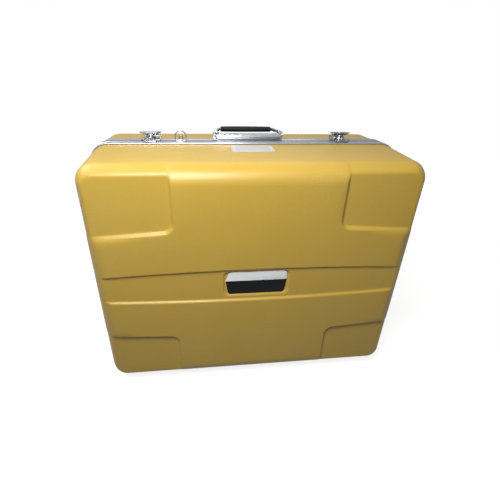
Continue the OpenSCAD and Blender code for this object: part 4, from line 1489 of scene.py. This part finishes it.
@dataclass
class Feet:
    """Rubber feet, screwed under both shells."""

    sizes: CaseSizes
    radius: float = 15 * MM
    along: float = 215 * MM
    inset: float = 54 * MM

    def build(self, finish: Finish) -> None:
        """Makes the feet and their screws."""
        r = self.radius
        tops = {Half.LID: 18.4 * MM, Half.BASE: 17 * MM}
        foot = [
            (2 * MM, 3 * MM), (4.2 * MM, 3 * MM), (4.4 * MM, 0.3 * MM), (5 * MM, 0), (r - 1.5 * MM, 0),
            (r - 0.5 * MM, 0.4 * MM),
            (r, 1.5 * MM), (r, 6 * MM), (r - 0.6 * MM, 6.8 * MM), (r - 1.6 * MM, 7.4 * MM),
            (r - 1.6 * MM, 8.4 * MM),
            (r - 0.4 * MM, 9.2 * MM),
        ]
        screw = [
            (0, 1.2 * MM), (1.2 * MM, 1.25 * MM), (2.8 * MM, 1.5 * MM), (3.8 * MM, 2.2 * MM),
            (4 * MM, 3 * MM), (2 * MM, 3.1 * MM), (2 * MM, 16 * MM), (0, 16 * MM)
        ]
        for half, body, depth in (
            (Half.LID, "lid", self.sizes.lid_depth), (Half.BASE, "base", self.sizes.base_depth)
        ):
            feet, screws = bmesh.new(), bmesh.new()
            for side in (-1, 1):
                place = (side * self.along, self.sizes.split_y + half.value * (depth - self.inset), 0)
                lathe(feet, foot + [(r - 0.2 * MM, tops[half]), (2 * MM, tops[half])], place, "Z", 48)
                lathe(screws, screw, place, "Z", 24)
            finished(body + "_rubber_feet", feet, [finish.foot], body, [body + "_feet"])
            finished(
                body + "_pan_screws", screws, [finish.zinc], body, [body + "_foot_screws"]
            )


@dataclass
class RimRivets:
    """The rivets through the inner lips, headed inside the case."""

    sizes: CaseSizes
    margin_x: float = 80 * MM
    margin_z: float = 90 * MM

    def build(self, finish: Finish) -> None:
        """Makes both rims' rivets."""
        s = self.sizes
        middle = (s.web + s.rim_w) / 2
        for half, name, body in ((Half.LID, "front", "lid"), (Half.BASE, "rear", "base")):
            bm = bmesh.new()
            y = s.split_y + half.value * middle
            for side in (-1, 1):
                for i in range(-2, 3):
                    place = Vector(
                        (i * (s.half_w - self.margin_x) / 2, y, s.mid_z + side * (s.half_h - s.rim_t))
                    )
                    rivet(bm, place, "-Z" if side > 0 else "Z", 3 * MM, 1.2 * MM, 5 * MM)
                for i in range(-1, 2):
                    place = Vector((side * (s.half_w - s.rim_t), y, s.mid_z + i * (s.half_h - self.margin_z)))
                    rivet(bm, place, "-X" if side > 0 else "X", 3 * MM, 1.2 * MM, 5 * MM)
            finished(name + "_lip_rivets", bm, [finish.zinc], body, [name + "_rim_rivets"])


# ---------------------------------------------------------------- nameplate and label


@dataclass
class Nameplate:
    """The slanted two-tone plate in the band's pocket."""

    sizes: CaseSizes
    half_l: float = 58 * MM
    half_h: float = 23.5 * MM
    split: float = 5 * MM
    cuts: tuple[float, float, float, float] = (7 * MM, 2 * MM, 4.5 * MM, 5 * MM)
    rise: float = 4 * MM
    thick: float = 1.6 * MM
    border: float = 0.9 * MM

    def build(self, finish: Finish) -> None:
        """Makes the plate."""
        low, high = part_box("nameplate")
        bm = bmesh.new()
        top_l, top_r, low_r, low_l = self.cuts
        outline = [
            (-self.half_l, self.split), (top_l - self.half_l, self.half_h),
            (self.half_l - top_r, self.half_h),
            (self.half_l, self.split), (self.half_l - low_r, -self.half_h),
            (low_l - self.half_l, -self.half_h),
        ]
        verts = [bm.verts.new((x, 0, z)) for x, z in outline]
        face = bm.faces.new(verts)
        corners = [verts[1], verts[2], verts[4], verts[5]]
        bmesh.ops.bevel(
            bm, geom=corners, offset=5 * MM, segments=6, profile=0.5, affect="VERTICES", material=-1
        )
        face = bm.faces[:][0]
        if face.normal.y > 0:
            bmesh.ops.reverse_faces(bm, faces=[face])
        thicken(bm, face, (0, -self.thick, 0))
        front = front_face(bm)
        rim = list(front.edges)
        bmesh.ops.bevel(bm, geom=rim, offset=0.4 * MM, segments=2, profile=0.5, affect="EDGES", material=-1)
        front = front_face(bm)
        bmesh.ops.bisect_plane(
            bm, geom=[front] + list(front.edges) + list(front.verts), dist=1e-6, plane_co=(0, 0, self.split),
            plane_no=(0, 0, 1)
        )
        for f in bm.faces:
            centre = f.calc_center_median()
            f.material_index = 1 if centre.y < -self.thick + 0.5 * MM and centre.z < self.split else 0
        move(bm, bm.verts, ((low.x + high.x) / 2, high.y, self.sizes.mid_z + self.rise))
        piece = finished(
            "two_tone_plate", bm, [finish.plate, finish.plate_black], "lid", ["nameplate"]
        )
        piece.data.set_sharp_from_angle(angle=math.radians(30))


@dataclass
class Label:
    """The plain paper label on the lid's top side, with faint ruled lines."""

    sizes: CaseSizes
    length: float = 78 * MM
    width: float = 42 * MM
    start: float = 34 * MM
    thick: float = 0.4 * MM
    margin: float = 8 * MM
    rules: tuple[float, ...] = (10 * MM, 18 * MM, 26 * MM, 34 * MM)
    rule_w: float = 1.8 * MM

    def build(self, finish: Finish) -> None:
        """Makes the label."""
        s = self.sizes
        bm = bmesh.new()
        bmesh.ops.create_grid(bm, x_segments=1, y_segments=1, size=0.5)
        bmesh.ops.scale(bm, vec=(self.length, self.width, 1), verts=bm.verts)
        bmesh.ops.translate(bm, vec=(0, -self.start - self.width / 2, 0), verts=bm.verts)
        planes = [
            ((x, 0, 0), (1, 0, 0)) for x in (self.margin - self.length / 2, self.length / 2 - self.margin)
        ]
        for rule in self.rules:
            planes += [((0, -self.start - rule - side * self.rule_w / 2, 0), (0, 1, 0)) for side in (-1, 1)]
        for place, normal in planes:
            bmesh.ops.bisect_plane(
                bm, geom=bm.verts[:] + bm.edges[:] + bm.faces[:], dist=1e-7, plane_co=place, plane_no=normal
            )
        for f in bm.faces:
            centre = f.calc_center_median()
            ruled = any(abs(-self.start - rule - centre.y) < self.rule_w / 2 for rule in self.rules)
            f.material_index = 1 if ruled and abs(centre.x) < self.length / 2 - self.margin else 0
        raised = bmesh.ops.extrude_face_region(bm, geom=bm.faces[:])["geom"]
        bmesh.ops.translate(
            bm, vec=(0, 0, self.thick), verts=[g for g in raised if isinstance(g, bmesh.types.BMVert)]
        )
        bmesh.ops.recalc_face_normals(bm, faces=bm.faces)
        lean = math.atan(s.lid_draft / (s.lid_depth - s.rim_w))
        bmesh.ops.translate(bm, vec=(0, s.rim_w, 0), verts=bm.verts)
        move(bm, bm.verts, (0, s.split_y - s.rim_w, s.top - s.proud), Matrix.Rotation(lean, 3, "X"))
        finished(
            "ruled_label", bm, [finish.paper, finish.ink], "lid", ["paper_label"], flat=True
        )


# ---------------------------------------------------------------- foam


@dataclass
class FoamLining:
    """The foam of both halves: a pad against each shell, walls round it and dividers in the base."""

    sizes: CaseSizes
    round_r: float = 27.5 * MM
    corner: float = 2.2 * MM
    cell: float = 13 * MM
    waffle: float = 5 * MM
    waffle_pitch: float = 36 * MM

    def cut_block(self, low: Vector, high: Vector, cell: float) -> bmesh.types.BMesh:
        """Makes a block with rounded edges, divided into cells."""
        bm = bmesh.new()
        block(bm, low, high, self.corner, 3)
        for axis in range(3):
            normal = [0, 0, 0]
            normal[axis] = 1
            for place in steps(low[axis] + self.corner, high[axis] - self.corner, cell):
                at = list(low)
                at[axis] = place
                bmesh.ops.bisect_plane(
                    bm, geom=bm.verts[:] + bm.edges[:] + bm.faces[:], dist=1e-5, plane_co=at, plane_no=normal
                )
        return bm

    def fitted(self, bm: bmesh.types.BMesh, half: Half, depth: float) -> None:
        """Draws vertices in to the inside of the shell's rounded edges and sides."""
        s = self.sizes
        r, inset = self.round_r, s.proud + s.wall + 1 * MM
        far = depth - s.wall - 1 * MM
        for v in bm.verts:
            d = half.value * (v.co.y - s.split_y)
            lean = s.lean(half, d)
            core_x, core_z = s.half_w - inset - lean - r, s.half_h - inset - lean - r
            x, z = v.co.x, v.co.z - s.mid_z
            core = Vector((min(max(x, -core_x), core_x), min(d, far - r), min(max(z, -core_z), core_z)))
            away = Vector((x, d, z)) - core
            if away.length > r:
                p = core + away * (r / away.length)
                v.co = Vector((p.x, s.split_y + half.value * p.y, s.mid_z + p.z))

    def soften(self, bm: bmesh.types.BMesh, amount: float, scale: float) -> None:
        """Moves vertices a little along their normals, by smooth noise on their places."""
        bm.normal_update()
        for v in bm.verts:
            v.co += v.normal * amount * (noise.noise(v.co * scale) - 0.35)

    def piece(
        self, name: str, bm: bmesh.types.BMesh, body: str, replaced: Sequence[str], finish: Finish,
        fill: float
    ) -> None:
        made = finished(name, bm, [finish.foam], body, replaced)

    def pad(self, half: Half, depth: float, node: str, finish: Finish) -> None:
        """Makes the pad against a shell; the lid's has a waffled face."""
        low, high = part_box(node)
        s = self.sizes
        inner = high.y if half is Half.LID else low.y
        bm = self.cut_block(low, high, 9 * MM if half is Half.LID else self.cell)
        if half is Half.LID:
            for v in bm.verts:
                if abs(v.co.y - inner) < 0.3 * MM:
                    k = math.tau / self.waffle_pitch
                    wave = 0.5 + 0.5 * math.cos(v.co.x * k) * math.cos((v.co.z - s.mid_z) * k)
                    v.co.y -= self.waffle * (1 - wave)
        self.fitted(bm, half, depth)
        self.soften(bm, 0.45 * MM, 30)
        self.piece(
            node.replace("foam_pad", "cut_pad"), bm, "lid" if half is Half.LID else "base", [node], finish,
            0.85
        )

    def walls(self, half: Half, depth: float, thick: float, node: str, finish: Finish) -> None:
        """Makes the four walls round a bay."""
        low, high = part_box(node)
        body = "lid" if half is Half.LID else "base"
        glue = 0.6 * MM
        boxes = {
            "lower": (low, Vector((high.x, high.y, low.z + thick))),
            "upper": (Vector((low.x, low.y, high.z - thick)), high),
            "left": (
                Vector((low.x, low.y, low.z + thick + glue)),
                Vector((low.x + thick, high.y, high.z - thick - glue))
            ),
            "right": (
                Vector((high.x - thick, low.y, low.z + thick + glue)),
                Vector((high.x, high.y, high.z - thick - glue))
            ),
        }
        for place, (a, b) in boxes.items():
            bm = self.cut_block(a, b, self.cell)
            self.fitted(bm, half, depth)
            self.soften(bm, 0.45 * MM, 34)
            replaced = [node] if place == "lower" else []
            self.piece(f"{body}_{place}_foam_wall", bm, body, replaced, finish, 0.85)

    def dividers(self, finish: Finish) -> None:
        """Makes the upright and the level divider of the base."""
        low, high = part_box("base_foam_dividers")
        thick, glue = 24 * MM, 0.6 * MM
        boxes = {
            "upright": (low, Vector((low.x + thick, high.y, high.z))),
            "level": (
                Vector((low.x + thick + glue, low.y, self.sizes.mid_z - thick / 2)),
                Vector((high.x, high.y, self.sizes.mid_z + thick / 2))
            ),
        }
        for name, (a, b) in boxes.items():
            bm = self.cut_block(a, b, self.cell)
            self.soften(bm, 0.45 * MM, 34)
            self.piece(
                name + "_foam_divider", bm, "base", ["base_foam_dividers"] if name == "upright" else [],
                finish, 0.85
            )

    def build(self, finish: Finish) -> None:
        """Makes all the foam."""
        s = self.sizes
        self.pad(Half.BASE, s.base_depth, "base_foam_pad", finish)
        self.pad(Half.LID, s.lid_depth, "lid_foam_pad", finish)
        self.walls(Half.BASE, s.base_depth, 46 * MM, "base_foam_walls", finish)
        self.walls(Half.LID, s.lid_depth, 38 * MM, "lid_foam_walls", finish)
        self.dividers(finish)


# ---------------------------------------------------------------- stage


@dataclass
class Stage:
    """The camera, the lights and the floor."""

    sizes: CaseSizes
    lens: float = 24.45
    place: Point = (-0.0973, -0.6881, 0.601)
    yaw: float = 0.126
    pitch: float = 0.499
    roll: float = 0.025
    shift: tuple[float, float] = (0.0184, 0.0028)
    ambient: float = 0.03
    mirrored: float = 0.42

    def camera(self) -> None:
        """Makes the camera."""
        data = bpy.data.cameras.new("camera")
        data.lens = self.lens
        data.sensor_width = 36
        data.shift_x, data.shift_y = self.shift
        data.clip_start = 0.02
        camera = bpy.data.objects.new("camera", data)
        ahead = Vector((
            math.sin(self.yaw) * math.cos(self.pitch), math.cos(self.yaw) * math.cos(self.pitch),
            -math.sin(self.pitch)
        ))
        right = Vector((math.cos(self.yaw), -math.sin(self.yaw), 0))
        up = right.cross(ahead)
        tilt = Matrix.Rotation(self.roll, 3, ahead)
        right, up = tilt.transposed() @ right, tilt.transposed() @ up
        turn = Matrix((right, up, -ahead)).transposed()
        place = Vector(self.place) + Vector((0, self.sizes.split_y, 0))
        camera.matrix_world = Matrix.Translation(place) @ turn.to_4x4()
        bpy.context.scene.collection.objects.link(camera)
        bpy.context.scene.camera = camera

    def softbox(
        self, name: str, place: Point, aim: Point, size: float, power: float, colour: Point = (1, 1, 1)
    ) -> None:
        """Makes one square area light, aimed at a point."""
        data = bpy.data.lights.new(name, "AREA")
        data.size = size
        data.energy = power
        data.color = colour
        light = bpy.data.objects.new(name, data)
        light.location = place
        light.rotation_euler = (Vector(place) - Vector(aim)).to_track_quat("Z", "Y").to_euler()
        bpy.context.scene.collection.objects.link(light)

    def build(self, finish: Finish) -> None:
        """Makes everything that isn't the case."""
        self.camera()
        self.softbox("key", (-0.19, -0.55, 0.92), (0, -0.15, 0.35), 0.4, 7.2, (1.0, 0.99, 0.965))
        self.softbox("side", (-0.9, 0.3, 1.3), (0, 0, 0.3), 0.8, 7, (1.0, 0.995, 0.98))
        self.softbox("back", (0.1, 1.3, 1.7), (0, 0, 0.3), 1.2, 3.5, (0.97, 0.985, 1.0))
        self.softbox("rear", (0.45, 1.8, 0.26), (0, 0, 0.22), 0.36, 7, (1.0, 0.99, 0.98))
        world = bpy.data.worlds.new("studio")
        world.use_nodes = True
        graph = Graph(world.node_tree)
        rays = graph.add("LightPath")
        seen = graph.math("MULTIPLY", rays.outputs["Is Camera Ray"], 1 - self.ambient)
        shine = graph.math("MULTIPLY", rays.outputs["Is Glossy Ray"], self.mirrored - self.ambient)
        strength = graph.math("ADD", graph.math("ADD", seen, shine), self.ambient)
        back = graph.add("Background", {"Color": (1, 1, 1, 1), "Strength": strength})
        graph.add("OutputWorld", {"Surface": back.outputs[0]})
        bpy.context.scene.world = world
        bpy.context.scene.view_settings.view_transform = "Standard"
        bm = bmesh.new()
        bmesh.ops.create_grid(bm, x_segments=2, y_segments=2, size=8)
        mesh = bpy.data.meshes.new("floor")
        bm.to_mesh(mesh)
        bm.free()
        mesh.materials.append(finish.floor)
        floor = bpy.data.objects.new("floor", mesh)
        bpy.context.scene.collection.objects.link(floor)


def dress_frame(finish: Finish) -> None:
    """Gives every CAD node the material of its slot."""
    by_slot = {
        "shell_plastic": finish.shell, "rim_aluminium": finish.rim, "seal_rubber": finish.seal,
        "foam": finish.foam,
        "bright_metal": finish.bright, "fastener_metal": finish.zinc, "grip_plastic": finish.grip,
        "foot_rubber": finish.foot, "plate_metal": finish.plate, "label_paper": finish.paper,
    }
    slots = {part["node"]: part["material_slot"] for part in frame["record"]["subparts"]}
    for node, piece in frame["nodes"].items():
        piece.data.materials.clear()
        piece.data.materials.append(by_slot[slots[node]])


def main() -> None:
    """Builds the case and its stage."""
    logging.basicConfig(level=logging.INFO)
    sizes = CaseSizes.from_frame()
    finish = Finish()
    Stage(sizes).build(finish)
    dress_frame(finish)
    Shell(sizes, Half.LID, sizes.lid_depth).build(finish)
    Shell(sizes, Half.BASE, sizes.base_depth).build(finish)
    Rims(sizes).build(finish)
    Handle(sizes).build(finish)
    Latches(sizes).build(finish)
    LockLoop(sizes).build(finish)
    Hinges(sizes).build(finish)
    Feet(sizes).build(finish)
    RimRivets(sizes).build(finish)
    Nameplate(sizes).build(finish)
    Label(sizes).build(finish)
    FoamLining(sizes).build(finish)


if __name__ == "__main__":
    main()
